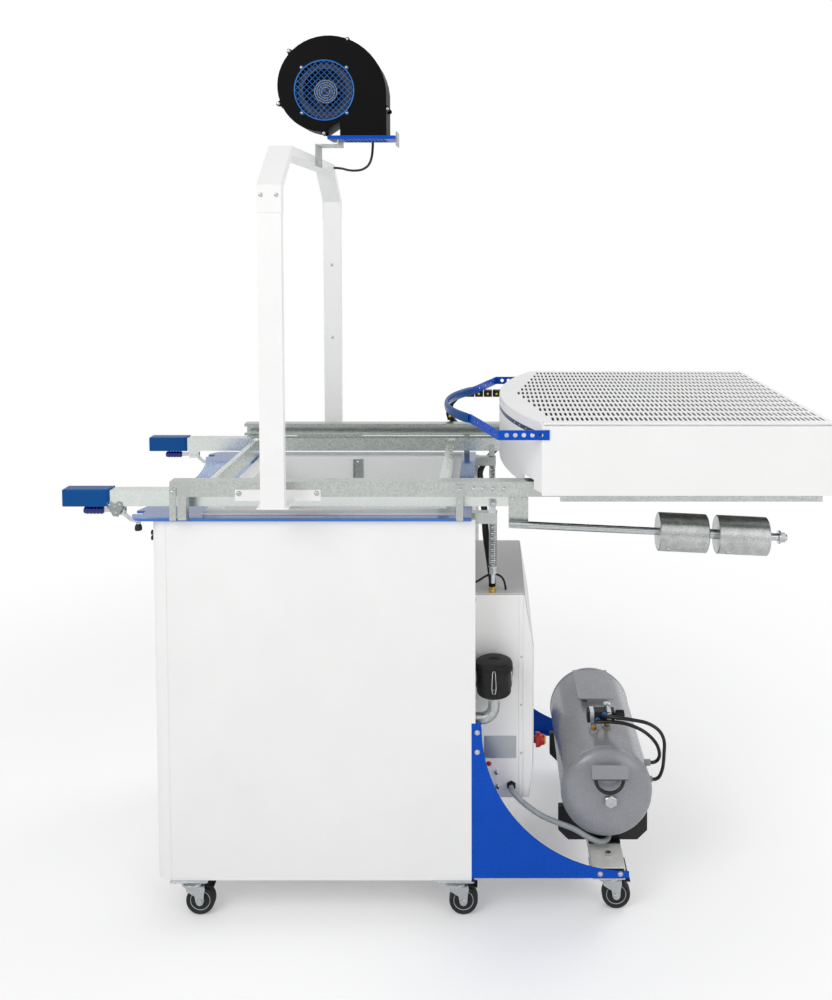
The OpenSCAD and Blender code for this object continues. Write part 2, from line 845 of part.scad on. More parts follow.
// Perforated pull handle bent round the hood's nose
module hood_handle() {
    side_holes = 5;
    slope_holes = 3;
    color("royalblue")
        difference() {
            translate([0, 0, handle_z[0]])
                linear_extrude(height = handle_z[1] - handle_z[0])
                    polygon(handle_plan(0, handle_back));
            translate([0, 0, handle_z[0] - over])
                linear_extrude(height = handle_z[1] - handle_z[0] + 2 * over)
                    polygon(handle_plan(handle_t, handle_back + over));
            both_sides() {
                handle_holes([handle_x, handle_back], [handle_x, handle_side_y], side_holes);
                handle_holes([handle_x, handle_side_y], handle_bend, slope_holes);
            }
        }
}

// Reflector tray of the heater, open below
module heater_tray() {
    t = 2;
    color("silver")
        difference() {
            block([-tray_half, tray_half], tray_y, tray_z);
            block([-tray_half + t, tray_half - t], [tray_y[0] + t, tray_y[1] - t],
                [tray_z[0] - over, tray_z[1] - t]);
        }
}

// Quartz heater elements with their end rails
module heater_elements() {
    element_r = 8;
    element_z = 1300;
    count = 9;
    pitch = (tray_y[1] - tray_y[0]) / (count + 1);
    rail_t = 6;
    end_x = tray_half - 12;
    color("ivory") {
        for (i = [1 : count])
            bar_x([-end_x, end_x], tray_y[0] + i * pitch, element_z, element_r);
        both_sides()
            block([end_x, end_x + rail_t], [tray_y[0] + 10, tray_y[1] - 10],
                [element_z - element_r, tray_z[1] - 2]);
    }
}

// Loop of the energy chain, bent between the hood and the trough
module energy_chain() {
    inner_r = chain_r - chain_t;
    mid_z = (chain_z[0] + chain_z[1]) / 2;
    run_y = [chain_bend_y, chain_end_y];
    color("black") {
        block(chain_x, run_y, [chain_z[1] - chain_t, chain_z[1]]);
        block(chain_x, run_y, [chain_z[0], chain_z[0] + chain_t]);
        difference() {
            bar_x(chain_x, chain_bend_y, mid_z, chain_r);
            bar_x([chain_x[0] - over, chain_x[1] + over], chain_bend_y, mid_z, inner_r);
            block([chain_x[0] - over, chain_x[1] + over], [chain_bend_y, chain_bend_y + 2 * chain_r],
                [chain_z[0] - over, chain_z[1] + over]);
        }
    }
}

// Clevises of the floating hinge with their pins, studs and nuts
module float_clevises() {
    cheek_z = [1136, 1174];
    nut_z = [959, spring_z[0] - 2];
    nut_r = 12;
    stud_end = 932;
    inner = [arm_x[0] - cheek_gap, arm_x[1] + cheek_gap];
    outer = [inner[0] - cheek_t, inner[1] + cheek_t];
    color("silver")
        both_sides() {
            block(outer, clevis_y, clevis_base_z);
            block([outer[0], inner[0]], clevis_y, cheek_z);
            block([inner[1], outer[1]], clevis_y, cheek_z);
            bar_x([outer[0] - 3, outer[1] + 3], pivot_y, pivot_z, pin_r);
            bar_z(stud_x, pivot_y, [stud_end, clevis_base_z[1]], stud_r);
            bar_z(stud_x, pivot_y, nut_z, nut_r - 2);
            bar_z(stud_x, pivot_y, [nut_z[1], spring_z[0]], nut_r + 1);
        }
}

// Float springs wound as one tube each
module float_springs() {
    wire_r = 1.6;
    end_gap = 0.4;
    coil_r = spring_d / 2 - wire_r;
    steps = 8;
    rise = spring_z[1] - spring_z[0] - 2 * (wire_r + end_gap);
    turns = [
        for (i = [0 : spring_turns * steps])
            [
                stud_x + coil_r * cos(360 * i / steps),
                pivot_y + coil_r * sin(360 * i / steps),
                spring_z[0] + wire_r + end_gap + rise * i / (spring_turns * steps)
            ]
    ];
    color("silver")
        both_sides()
            swept(turns, wire_r, 6);
}

// Clamp frame: two arms, two cross angles and the toggle bases
module clamp_frame() {
    wall = 3;
    front_y = [-678, -661];
    rear_y = [-10, 15];
    angle_z = [1141, 1193];
    base_y = [arm_y[0], -869];
    ear_t = 3;
    ear_y = [-905, -872];
    ear_z = [1127, toggle_base_z];
    ear_half = 10;
    color("silver") {
        both_sides() {
            difference() {
                block(arm_x, arm_y, arm_z);
                block([arm_x[0] + wall, arm_x[1] - wall], [arm_y[0] + wall, arm_y[1] + over],
                    [arm_z[0] + wall, arm_z[1] - wall]);
                bar_x([arm_x[0] - over, arm_x[1] + over], pivot_y, pivot_z, pin_r + run_fit);
            }
            block([toggle_x - ear_half, toggle_x + ear_half], base_y, [toggle_base_z, arm_z[0]]);
            difference() {
                union() {
                    block([toggle_x - ear_half, toggle_x - ear_half + ear_t], ear_y, ear_z);
                    block([toggle_x + ear_half - ear_t, toggle_x + ear_half], ear_y, ear_z);
                }
                for (p = [lever_pin, arm_pin])
                    bar_x([toggle_x - 2 * ear_half, toggle_x + 2 * ear_half], p[0], p[1],
                        toggle_pin_r + run_fit);
            }
        }
        block([-arm_in, arm_in], [front_y[1] - wall, front_y[1]], angle_z);
        block([-arm_in, arm_in], front_y, [angle_z[1] - wall, angle_z[1]]);
        block([-arm_in, arm_in], [rear_y[0], rear_y[0] + wall], angle_z);
        block([-arm_in, arm_in], rear_y, [angle_z[1] - wall, angle_z[1]]);
    }
}

// Plastic sleeves on the arms' front ends
module grip_sleeves() {
    lap = 3;
    color("steelblue")
        both_sides()
            block([arm_x[0] - lap, arm_x[1] + lap], grip_y, [arm_z[0] - 1, arm_z[1] + lap]);
}

// Lever of a toggle clamp on the right arm
module toggle_lever() {
    bar_x_span = [toggle_x - 6.5, toggle_x - 6.5 + toggle_bar_t];
    grip_r = 11;
    grip_span = [-988, -932];
    eye_r = 6;
    pin_x = [toggle_x - 11, toggle_x + 11];
    color("steelblue") {
        bar_x(bar_x_span, lever_pin[0], lever_pin[1], eye_r);
        block(bar_x_span, [grip_span[1] - 1, lever_pin[0]], [lever_pin[1] - 5, lever_pin[1] + 5]);
        bar_y(toggle_x - 4, grip_span, lever_pin[1], grip_r);
        bar_x(pin_x, lever_pin[0], lever_pin[1], toggle_pin_r);
    }
}

// Arm of a toggle clamp with its spindle and rubber tip, on the right arm
module toggle_arm() {
    bar_span = [toggle_x + 1, toggle_x + 1 + toggle_bar_t];
    eye_r = 6;
    tip = [-836, 1108];
    run = tip - arm_pin;
    long = norm(run);
    tip_r = 10;
    bar_half = 4.5;
    spindle_r = 4;
    pin_x = [toggle_x - 11, toggle_x + 11];
    spindle_x = toggle_x + 3.5;
    color("silver") {
        bar_x(bar_span, arm_pin[0], arm_pin[1], eye_r);
        translate([bar_span[0], arm_pin[0], arm_pin[1]])
            rotate([atan2(run[1], run[0]), 0, 0])
                translate([0, 1, -bar_half])
                    cube([toggle_bar_t, long - 1, 2 * bar_half]);
        bar_x(pin_x, arm_pin[0], arm_pin[1], toggle_pin_r);
        bar_z(spindle_x, tip[0], [1100, 1114], spindle_r);
        bar_z(spindle_x, tip[0], [1082, 1101], tip_r);
    }
}

// Brackets and rods behind the arms
module counterweight_rods() {
    plate_x = [arm_x[1], arm_x[1] + strap_t];
    plate_y = [187, 241];
    plate_z = [1107, arm_z[1]];
    flange_x = [arm_x[1], 398];
    washer_r = 18;
    washer_t = 5;
    nut_r = 14;
    nut_t = 14;
    color("silver")
        both_sides() {
            block(plate_x, plate_y, plate_z);
            block(flange_x, plate_y, [plate_z[0] - strap_t, plate_z[0]]);
            for (y = [198, 230])
                head_x(plate_x[1], y, 1177, 6);
            translate(rod_front)
                rotate([-90 - rod_slope, 0, 0]) {
                    cylinder(h = rod_l, r = rod_r);
                    translate([0, 0, rod_l - washer_t - nut_t])
                        cylinder(h = washer_t, r = washer_r);
                    translate([0, 0, rod_l - nut_t])
                        cylinder(h = nut_t, r = nut_r);
                }
        }
}

// Two weights and a collar on each rod
module counterweights() {
    first = [407, 540];
    second = [567, 705];
    collar_r = 13;
    color("silver")
        both_sides()
            translate(rod_front)
                rotate([-90 - rod_slope, 0, 0])
                    difference() {
                        union() {
                            translate([0, 0, first[0]])
                                cylinder(h = first[1] - first[0], d = weight_d);
                            translate([0, 0, first[1]])
                                cylinder(h = second[0] - first[1], r = collar_r);
                            translate([0, 0, second[0]])
                                cylinder(h = second[1] - second[0], d = weight_d);
                        }
                        translate([0, 0, first[0] - over])
                            cylinder(h = second[1] - first[0] + 2 * over, r = rod_r + run_fit);
                    }
}

function box_profile(inset) = [
    [cabinet_back + inset, 880 - inset], [233 - inset, 880 - inset],
    [box_back_y - inset, 734], [box_back_y - inset, 383],
    [246 - inset, 290 + inset], [cabinet_back + inset, 290 + inset]
];

// Control box on the cabinet's back
module control_box() {
    t = 2.5;
    gland_x = [250, 280];
    gland_y = 142;
    gland_z = [880, 900];
    gland_r = 11;
    hose_gland = [box_x[1] + 10, 197, 325];
    hose_gland_r = 14;
    collar_y = [260, 268];
    collar_r = 30;
    color("white") {
        difference() {
            along_x(box_x)
                polygon(box_profile(0));
            along_x([box_x[0] + t, box_x[1] - t])
                polygon(box_profile(t));
            bar_y(stop_place[0], [box_back_y - t - over, collar_y[1]], stop_place[1], stop_stem_r + run_fit);
        }
    }
    color("goldenrod") {
        for (x = gland_x)
            bar_z(x, gland_y, gland_z, gland_r);
        bar_x([box_x[1], hose_gland[0]], hose_gland[1], hose_gland[2], hose_gland_r);
        difference() {
            bar_y(stop_place[0], collar_y, stop_place[1], collar_r);
            bar_y(stop_place[0], [collar_y[0] - over, collar_y[1] + over], stop_place[1],
                stop_stem_r + run_fit);
        }
    }
}

// Dark overlay on the control box
module control_panel() {
    x = [-150, 290];
    z = [395, 724];
    color("dimgray")
        difference() {
            block(x, [box_back_y, box_back_y + 2], z);
            bar_y(stop_place[0], [box_back_y - over, box_back_y + 2 + over], stop_place[1],
                stop_stem_r + run_fit);
        }
}

// Mushroom button of the emergency stop
module emergency_stop() {
    stem_y = [232, 282];
    head_y = [275, 300];
    head_r = 21;
    color("red") {
        bar_y(stop_place[0], stem_y, stop_place[1], stop_stem_r);
        bar_y(stop_place[0], head_y, stop_place[1], head_r);
    }
}

module front_button(z) {
    head_y = [-cabinet_front - 18, -cabinet_front - 5];
    stem_y = [head_y[0], -cabinet_front + 20];
    head_r = 7;
    color("black") {
        bar_y(button_x, stem_y, z, button_stem_r);
        bar_y(button_x, head_y, z, head_r);
    }
}

// Side gussets with a quarter-circle cut
module gussets() {
    cut_r = 408;
    neck_y = 112;
    cut_z = 547;
    t = sheet_t;
    flange_w = 22;
    color("royalblue")
        both_sides() {
            difference() {
                block([cabinet_half - t, cabinet_half], [cabinet_back, gusset_y], gusset_z);
                bar_x([cabinet_half - t - over, cabinet_half + over], gusset_y, cut_z, cut_r);
                block([cabinet_half - t - over, cabinet_half + over], [neck_y, gusset_y + over],
                    [cut_z, gusset_z[1] + over]);
            }
            block([cabinet_half - flange_w, cabinet_half - t], [cabinet_back, cabinet_back + t], gusset_z);
            block([cabinet_half - flange_w, cabinet_half - t], [cabinet_back + t, channel_y[0]],
                [gusset_z[0], gusset_z[0] + t]);
        }
}

// Channel across the gussets that carries the tank and the rear castors
module cross_channel() {
    t = 3;
    half = cabinet_half - sheet_t;
    color("whitesmoke")
        difference() {
            block([-half, half], channel_y, channel_z);
            block([-half - over, half + over], [channel_y[0] + t, channel_y[1] - t],
                [channel_z[0] + t, channel_z[1] - t]);
        }
}

// Outline of the tank from its far end to its near end, as radius and place along X
function tank_outline(inset) =
    let (
        r = tank_r - inset,
        far = tank_x[0] + inset,
        near = tank_x[1] - inset,
        dome_r = (r * r + tank_dome * tank_dome) / (2 * tank_dome),
        half_angle = asin(r / dome_r),
        steps = 10
    )
    concat(
        [for (i = [0 : steps])
            [dome_r * sin(half_angle * i / steps), far + dome_r * (1 - cos(half_angle * i / steps))]],
        [for (i = [steps : -1 : 0])
            [dome_r * sin(half_angle * i / steps), near - dome_r * (1 - cos(half_angle * i / steps))]]
    );

module tank_form(inset) {
    translate([0, tank_y, tank_z])
        rotate([0, 90, 0])
            rotate_extrude()
                polygon(tank_outline(inset));
}

// Vacuum tank with domed ends
module tank() {
    wall = 4;
    port_r = 5;
    boss_r = 15;
    side_boss_r = 9;
    plug_boss_r = 22;
    sunk = tank_z + 100;
    shelf_x = [-157, 45];
    shelf_y = [409, 521];
    shelf_z = tank_z + tank_r + 9;
    shelf_t = 4;
    web_t = 6;
    web_half = 30;
    lug_x = [tank_x[1] - 40, tank_x[1] + 24];
    lug_y = [tank_y - 49, tank_y + 53];
    lug_z = [tank_z + 66, tank_z + 109];
    color("gray")
        difference() {
            union() {
                tank_form(0);
                bar_z(valve_place[0], valve_place[1], [sunk, boss_top], boss_r);
                bar_z(stub_place[0], stub_place[1], [sunk, boss_top], boss_r);
                bar_x([tank_x[1] - 12, tank_x[1] + 2], tank_y + 6, tank_z - 3, plug_boss_r);
                for (p = [upper_hose_route, lower_hose_route])
                    bar_y(p[len(p) - 1][0], [tank_y + 100, p[len(p) - 1][1]], p[len(p) - 1][2], side_boss_r);
                block(shelf_x, shelf_y, [shelf_z, shelf_z + shelf_t]);
                for (x = [shelf_x[0] + web_t, shelf_x[1] - 2 * web_t])
                    block([x, x + web_t], [tank_y - web_half, tank_y + web_half], [sunk, shelf_z]);
                block(lug_x, lug_y, [lug_z[0], lug_z[0] + shelf_t]);
                block([lug_x[1] - shelf_t, lug_x[1]], lug_y, lug_z);
            }
            tank_form(wall);
            bar_z(valve_place[0], valve_place[1], [tank_z, boss_top + over], port_r);
        }
}

// Foot of the tank
module tank_saddle() {
    y = [334, 591];
    top = tank_z - 70;
    t = 20;
    color("black")
        difference() {
            union() {
                for (x = [-170, 250])
                    block([x, x + t], y, [channel_z[1], top]);
                block([-190, 290], [channel_y[0], channel_y[1]], [channel_z[1], channel_z[1] + 4]);
            }
            bar_x([-200, 300], tank_y, tank_z, tank_r);
            for (side = [0, 1])
                translate([0, side == 0 ? y[0] : y[1], channel_z[1]])
                    rotate([45, 0, 0])
                        block([-200, 300], [-20, 20], [-20, 20]);
        }
}

// Valves, brackets and plugs on the tank
module tank_fittings() {
    plug_x = [tank_x[1] + 2, tank_x[1] + 14];
    plug_r = 19;
    neck_r = 9;
    neck_h = 34;
    cap_r = 13;
    stub_r = 10;
    stub_h = 30;
    body_x = [200, 232];
    body_y = [420, 500];
    body_h = [30, 62];
    bore_l = 15;
    color("darkgoldenrod") {
        bar_x(plug_x, tank_y + 6, tank_z - 3, plug_r);
        bar_z(valve_place[0], valve_place[1], [boss_top, boss_top + neck_h], neck_r);
        bar_z(valve_place[0], valve_place[1], [boss_top + neck_h, boss_top + 2 * neck_h], cap_r);
        bar_z(stub_place[0], stub_place[1], [boss_top, boss_top + stub_h], stub_r);
    }
    color("black")
        difference() {
            block(body_x, body_y, [tank_z + tank_r + body_h[0], tank_z + tank_r + body_h[1]]);
            bar_y(knob_place[0], [body_y[1] - bore_l, body_y[1] + over], knob_place[1], knob_stem_r + run_fit);
        }
}

// Knob of the vacuum regulator
module regulator_knob() {
    grooves = 12;
    groove_r = 1.5;
    groove_out = 0.5;
    knob_r = 14;
    stem_y = [488, 510];
    knob_y = [504, 530];
    color("black")
        difference() {
            union() {
                bar_y(knob_place[0], stem_y, knob_place[1], knob_stem_r);
                bar_y(knob_place[0], knob_y, knob_place[1], knob_r);
            }
            for (i = [0 : grooves - 1])
                translate([knob_place[0], 0, knob_place[1]])
                    rotate([0, 360 * i / grooves, 0])
                        bar_y(knob_r + groove_out, [knob_y[0] - over, knob_y[1] + over], 0, groove_r);
        }
}

module tank_hoses() {
    hose_r = 5;
    color("black") {
        swept(upper_hose_route, hose_r, 8);
        swept(lower_hose_route, hose_r, 8);
        swept(loop_hose_route, hose_r, 8);
    }
}

module vacuum_hose() {
    hose_r = 7.5;
    color("gray")
        swept(grey_hose_route, hose_r, 12);
}

// Filter on the vacuum inlet
module filter_can() {
    can_r = 48;
    lid_r = 52;
    color("black") {
        bar_z(filter_place[0], filter_place[1], [filter_z[0], filter_z[1]], can_r);
        bar_z(filter_place[0], filter_place[1], [filter_z[1], filter_z[2]], lid_r);
    }
}

// Neck, elbow and clips of the filter
module filter_pipe() {
    x = filter_place[0];
    y = filter_place[1];
    pipe_r = 16.5;
    bend_r = 36;
    elbow_z = 549;
    clip_out = 54.5;
    clip_t = 2.2;
    clip_half = 4;
    color("silver") {
        bar_z(x, y, [elbow_z + bend_r, filter_z[0]], pipe_r);
        bar_y(x, [cabinet_back, y - bend_r], elbow_z, pipe_r);
        translate([x, y - bend_r, elbow_z + bend_r])
            rotate([90, 0, 90])
                rotate_extrude(angle = -90)
                    translate([bend_r, 0])
                        circle(r = pipe_r);
        for (a = [0, 90, 180, 270])
            translate([x, y, 0])
                rotate([0, 0, a + 45]) {
                    block([48, clip_out], [-clip_half, clip_half], [650, filter_z[1]]);
                    block([clip_out - clip_t, clip_out], [-clip_half, clip_half], [filter_z[1], 705]);
                }
    }
}

module cable_loom() {
    loom_r = 10;
    curl_r = 3;
    color("black") {
        swept(loom_route, loom_r, 8);
        swept(curl_route, curl_r, 8);
    }
}

// Swivel fork of a castor with its top plate, at the origin of the castor
module castor_fork() {
    crown_z = [wheel_d + 4, wheel_d + 20];
    leg_t = 3;
    leg_in = wheel_w / 2 + 1;
    axle_r = 5;
    color("silver") {
        bar_z(0, 0, [crown_z[1], cabinet_base - castor_plate_t - slip], 20);
        bar_z(0, 0, crown_z, 32);
        for (side = [-1, 1])
            translate([side * (leg_in + leg_t / 2), 0, 0])
                union() {
                    block([-leg_t / 2, leg_t / 2], [-18, trail + 14], [wheel_r + 20, crown_z[0]]);
                    block([-leg_t / 2, leg_t / 2], [trail - 12, trail + 12], [wheel_r, wheel_r + 20]);
                    bar_x([-leg_t / 2, leg_t / 2], trail, wheel_r, 12);
                }
        bar_x([-leg_in - leg_t - 3, leg_in + leg_t + 3], trail, wheel_r, axle_r);
        block([-leg_in - leg_t, leg_in + leg_t], [-18, trail + 14], [crown_z[0] - 3, crown_z[0]]);
        block([-14, 14], [trail + 14, trail + 40], [crown_z[0] - 3, crown_z[0]]);
    }
}

// Wheel of a castor
module castor_wheel() {
    bore_r = 5 + run_fit;
    hub_r = 27;
    hub_cut = 5;
    color("black")
        translate([0, trail, wheel_r])
            rotate([0, 90, 0])
                difference() {
                    cylinder(h = wheel_w, r = wheel_r, center = true);
                    for (side = [-1, 1])
                        translate([0, 0, side * (wheel_w / 2)])
                            cylinder(h = 2 * hub_cut, r = hub_r, center = true);
                    cylinder(h = wheel_w + 2 * over, r = bore_r, center = true);
                }
}

module castor_place(i) {
    translate([castors[i - 1][0], castors[i - 1][1], 0])
        children();
}

cabinet();
worktop();
well_liner();
table_ram();
forming_table();
slide_rails();
rail_posts();
arch();
fasteners();
fan_bracket();
fan_casing();
fan_guards();
fan_impeller();
fan_cable();
hood_body();
hood_lid();
hood_band();
hood_carriage();
hood_handle();
heater_tray();
heater_elements();
energy_chain();
float_clevises();
float_springs();
clamp_frame();
grip_sleeves();
counterweight_rods();
counterweights();
toggle_lever();  // toggle_lever_right
mirror([1, 0, 0]) toggle_lever();  // toggle_lever_left
toggle_arm();  // toggle_arm_right
mirror([1, 0, 0]) toggle_arm();  // toggle_arm_left
control_box();
control_panel();
emergency_stop();
front_button(button_z[1]);  // front_button_upper
front_button(button_z[0]);  // front_button_lower
gussets();
cross_channel();
tank();
tank_saddle();
tank_fittings();
regulator_knob();
tank_hoses();
vacuum_hose();
filter_can();
filter_pipe();
cable_loom();
castor_place(1) castor_fork();  // castor_fork_1
castor_place(2) castor_fork();  // castor_fork_2
castor_place(3) castor_fork();  // castor_fork_3
castor_place(4) castor_fork();  // castor_fork_4
castor_place(5) castor_fork();  // castor_fork_5
castor_place(6) castor_fork();  // castor_fork_6
castor_place(1) castor_wheel();  // castor_wheel_1
castor_place(2) castor_wheel();  // castor_wheel_2
castor_place(3) castor_wheel();  // castor_wheel_3
castor_place(4) castor_wheel();  // castor_wheel_4
castor_place(5) castor_wheel();  // castor_wheel_5
castor_place(6) castor_wheel();  // castor_wheel_6
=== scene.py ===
# Floor-standing sheet vacuum former: sliding heater hood, counterweighted clamp frame,
# cooling fan on an arch, and a vacuum tank package at the back.
import math

import bmesh
import bpy
from mathutils import Matrix, Vector


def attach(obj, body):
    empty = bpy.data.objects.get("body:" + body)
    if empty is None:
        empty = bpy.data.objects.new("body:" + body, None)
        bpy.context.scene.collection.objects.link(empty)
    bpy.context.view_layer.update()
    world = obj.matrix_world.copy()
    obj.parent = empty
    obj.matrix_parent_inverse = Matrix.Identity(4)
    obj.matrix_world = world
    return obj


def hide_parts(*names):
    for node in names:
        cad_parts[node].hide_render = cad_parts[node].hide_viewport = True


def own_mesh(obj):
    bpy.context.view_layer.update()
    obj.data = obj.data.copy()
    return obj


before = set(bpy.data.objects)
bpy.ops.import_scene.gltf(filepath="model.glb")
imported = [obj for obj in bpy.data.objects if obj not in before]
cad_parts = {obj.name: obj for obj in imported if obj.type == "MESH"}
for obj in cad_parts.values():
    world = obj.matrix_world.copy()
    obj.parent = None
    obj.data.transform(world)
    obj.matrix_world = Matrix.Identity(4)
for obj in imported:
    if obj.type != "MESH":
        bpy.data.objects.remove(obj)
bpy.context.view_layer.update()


# Camera: it stands to the operator's right at eye height and looks across the machine,
# tilted down by three degrees, with the rest of the framing done by shifting the lens.
def new_object(name, data):
    """An object in the scene."""
    made = bpy.data.objects.new(name, data)
    bpy.context.scene.collection.objects.link(made)
    return made


camera_tilt = math.radians(3)
camera_data = bpy.data.cameras.new("photographer")
camera_data.sensor_width = 36
camera_data.lens = 35.64
camera_data.shift_x = -0.074
camera_data.shift_y = -0.214
camera = new_object("photographer", camera_data)
camera.location = (3.050, 0.136, 1.900)
camera.rotation_euler = (math.radians(90) - camera_tilt, 0, math.radians(90))
bpy.context.scene.camera = camera


# Studio floor: pale seamless paper that keeps the soft shadow under the machine and fades
# to white further out. The room is white, and two soft boxes and a fill light the machine.
def to_linear(colour):
    """An sRGB hex value as a linear colour with alpha."""
    parts = [int(colour[i:i + 2], 16) / 255 for i in (0, 2, 4)]
    return [c / 12.92 if c <= 0.04045 else ((c + 0.055) / 1.055) ** 2.4 for c in parts] + [1]


def add_node(tree, kind, inputs=(), **settings):
    """A node with its settings, and its inputs set to values or linked to sockets.

    A node given as an input stands for its first output.
    """
    made = tree.nodes.new(kind)
    for key, value in settings.items():
        setattr(made, key, value)
    for key, value in dict(inputs).items():
        if isinstance(value, bpy.types.Node):
            value = value.outputs[0]
        if isinstance(value, bpy.types.NodeSocket):
            tree.links.new(value, made.inputs[key])
        else:
            made.inputs[key].default_value = value
    return made


def new_material(name):
    """A material and its empty node tree."""
    made = bpy.data.materials.new(name)
    made.use_nodes = True
    made.node_tree.nodes.clear()
    return made, made.node_tree


floor_size = 14
floor_near = 1.5
floor_far = 3.4
paper_glow = 0.16
floor_mesh = bpy.data.meshes.new("studio_floor")
floor_corners = [(x * floor_size, y * floor_size, 0) for x, y in ((-1, -1), (1, -1), (1, 1), (-1, 1))]
floor_mesh.from_pydata(floor_corners, [], [(0, 1, 2, 3)])
studio_floor = new_object("studio_floor", floor_mesh)
paper, tree = new_material("seamless_paper")
place = add_node(tree, "ShaderNodeTexCoord")
reach = add_node(tree, "ShaderNodeVectorMath", {0: place.outputs["Object"]}, operation="LENGTH")
far = add_node(tree, "ShaderNodeMapRange", {"Value": reach.outputs["Value"], "From Min": floor_near,
    "From Max": floor_far}, interpolation_type="SMOOTHSTEP")
fibres = add_node(tree, "ShaderNodeTexNoise", {"Vector": place.outputs["Object"], "Scale": 400})
grain = add_node(tree, "ShaderNodeBump", {"Height": fibres, "Strength": 0.05, "Distance": 0.0005})
matte = add_node(tree, "ShaderNodeBsdfDiffuse", {"Color": to_linear("F8F8F8"), "Normal": grain})
seen = add_node(tree, "ShaderNodeLightPath")
lift = add_node(tree, "ShaderNodeMath", {0: seen.outputs["Is Camera Ray"], 1: paper_glow},
    operation="MULTIPLY")
glow = add_node(tree, "ShaderNodeEmission", {"Color": (1, 1, 1, 1), "Strength": lift})
near_shade = add_node(tree, "ShaderNodeAddShader", {0: matte, 1: glow})
white = add_node(tree, "ShaderNodeEmission", {"Color": (1, 1, 1, 1), "Strength": 1})
shade = add_node(tree, "ShaderNodeMixShader", {0: far, 1: near_shade, 2: white})
add_node(tree, "ShaderNodeOutputMaterial", {"Surface": shade})
floor_mesh.materials.append(paper)

room = bpy.data.worlds.new("white_room")
room.use_nodes = True
bpy.context.scene.world = room
tree = room.node_tree
tree.nodes.clear()
room_light = 0.65
low_wall = 0.42
seen = add_node(tree, "ShaderNodeLightPath")
direct = add_node(tree, "ShaderNodeMath", {0: seen.outputs["Is Transmission Ray"],
    1: seen.outputs["Is Camera Ray"]}, operation="MAXIMUM")
dim = add_node(tree, "ShaderNodeBackground", {"Color": to_linear("F9F9FA"), "Strength": room_light})
bright = add_node(tree, "ShaderNodeBackground", {"Color": (1, 1, 1, 1), "Strength": 1})
toward = add_node(tree, "ShaderNodeTexCoord")
height = add_node(tree, "ShaderNodeSeparateXYZ", {"Vector": toward.outputs["Generated"]})
walls = add_node(tree, "ShaderNodeMapRange", {"Value": height.outputs["Z"], "From Min": -0.15,
    "From Max": 0.5, "To Min": low_wall, "To Max": 1}, interpolation_type="SMOOTHSTEP")
mirrored_room = add_node(tree, "ShaderNodeBackground", {"Color": (1, 1, 1, 1), "Strength": walls})
indirect = add_node(tree, "ShaderNodeMixShader", {0: seen.outputs["Is Glossy Ray"], 1: dim, 2: mirrored_room})
mixed = add_node(tree, "ShaderNodeMixShader", {0: direct, 1: indirect, 2: bright})
add_node(tree, "ShaderNodeOutputWorld", {"Surface": mixed})

lamp_aim = Vector((0, 0, 1.1))
for name, spot, size, power in (
        ("key", (3.2, -2.6, 3.8), 2.4, 62),
        ("back", (-2.2, 3.0, 3.6), 2.6, 48),
        ("fill", (3.4, 3.2, 2.2), 2.6, 26)):
    lamp_data = bpy.data.lights.new(name, "AREA")
    lamp_data.shape = "SQUARE"
    lamp_data.size = size
    lamp_data.energy = power
    lamp = new_object(name, lamp_data)
    lamp.location = spot
    lamp.rotation_mode = "QUATERNION"
    lamp.rotation_quaternion = (lamp_aim - Vector(spot)).to_track_quat("-Z", "Y")
bpy.context.scene.view_settings.view_transform = "Standard"


# Cables and hoses: extruded rubber, polyurethane and PVC pushed into glands, each one laid
# along its route from the gland that it leaves to where it goes back into the machine.
def finish(name, colour, shade, roughness, metallic=0, mottle=60, grain=1.5, bump=0.1, depth=0.1,
           cells=False, stretch=(1, 1, 1), specular=0.5, coat=(0, 0.03), clear=0):
    """A surface whose colour drifts over mottle mm, and whose gloss and relief follow a grain in mm.

    The coat is its weight and roughness. The mix node's colours are inputs 6 and 7 and output 2.
    """
    made, tree = new_material(name)
    place = add_node(tree, "ShaderNodeTexCoord")
    turned = add_node(tree, "ShaderNodeMapping", {"Vector": place.outputs["Object"], "Scale": stretch})
    drift = add_node(tree, "ShaderNodeTexNoise", {"Vector": place.outputs["Object"], "Scale": 1000 / mottle,
        "Detail": 4, "Roughness": 0.6})
    if cells:
        fine = add_node(tree, "ShaderNodeTexVoronoi", {"Vector": turned, "Scale": 1000 / grain})
        value = add_node(tree, "ShaderNodeSeparateColor", {"Color": fine.outputs["Color"]}).outputs["Red"]
    else:
        value = add_node(tree, "ShaderNodeTexNoise", {"Vector": turned, "Scale": 1000 / grain, "Detail": 3,
            "Roughness": 0.55})
    blend = add_node(tree, "ShaderNodeMath", {0: value, 1: drift}, operation="MULTIPLY")
    spread = add_node(tree, "ShaderNodeMapRange", {"Value": blend, "From Min": 0.08, "From Max": 0.42})
    tint = add_node(tree, "ShaderNodeMix", {0: spread, 6: to_linear(shade), 7: to_linear(colour)},
        data_type="RGBA")
    gloss = add_node(tree, "ShaderNodeMapRange", {"Value": value, "From Min": 0.2, "From Max": 0.8,
        "To Min": roughness[0], "To Max": roughness[1]})
    relief = add_node(tree, "ShaderNodeBump", {"Height": value, "Strength": bump, "Distance": depth / 1000})
    surface = add_node(tree, "ShaderNodeBsdfPrincipled", {"Base Color": tint.outputs[2], "Metallic": metallic,
        "Roughness": gloss, "Normal": relief, "Specular IOR Level": specular, "Coat Weight": coat[0],
        "Coat Roughness": coat[1], "Transmission Weight": clear})
    add_node(tree, "ShaderNodeOutputMaterial", {"Surface": surface})
    return made


crease = math.radians(38)
to_right = (1, 0, 0)
to_back = (0, 1, 0)
to_front = (0, -1, 0)
upward = (0, 0, 1)


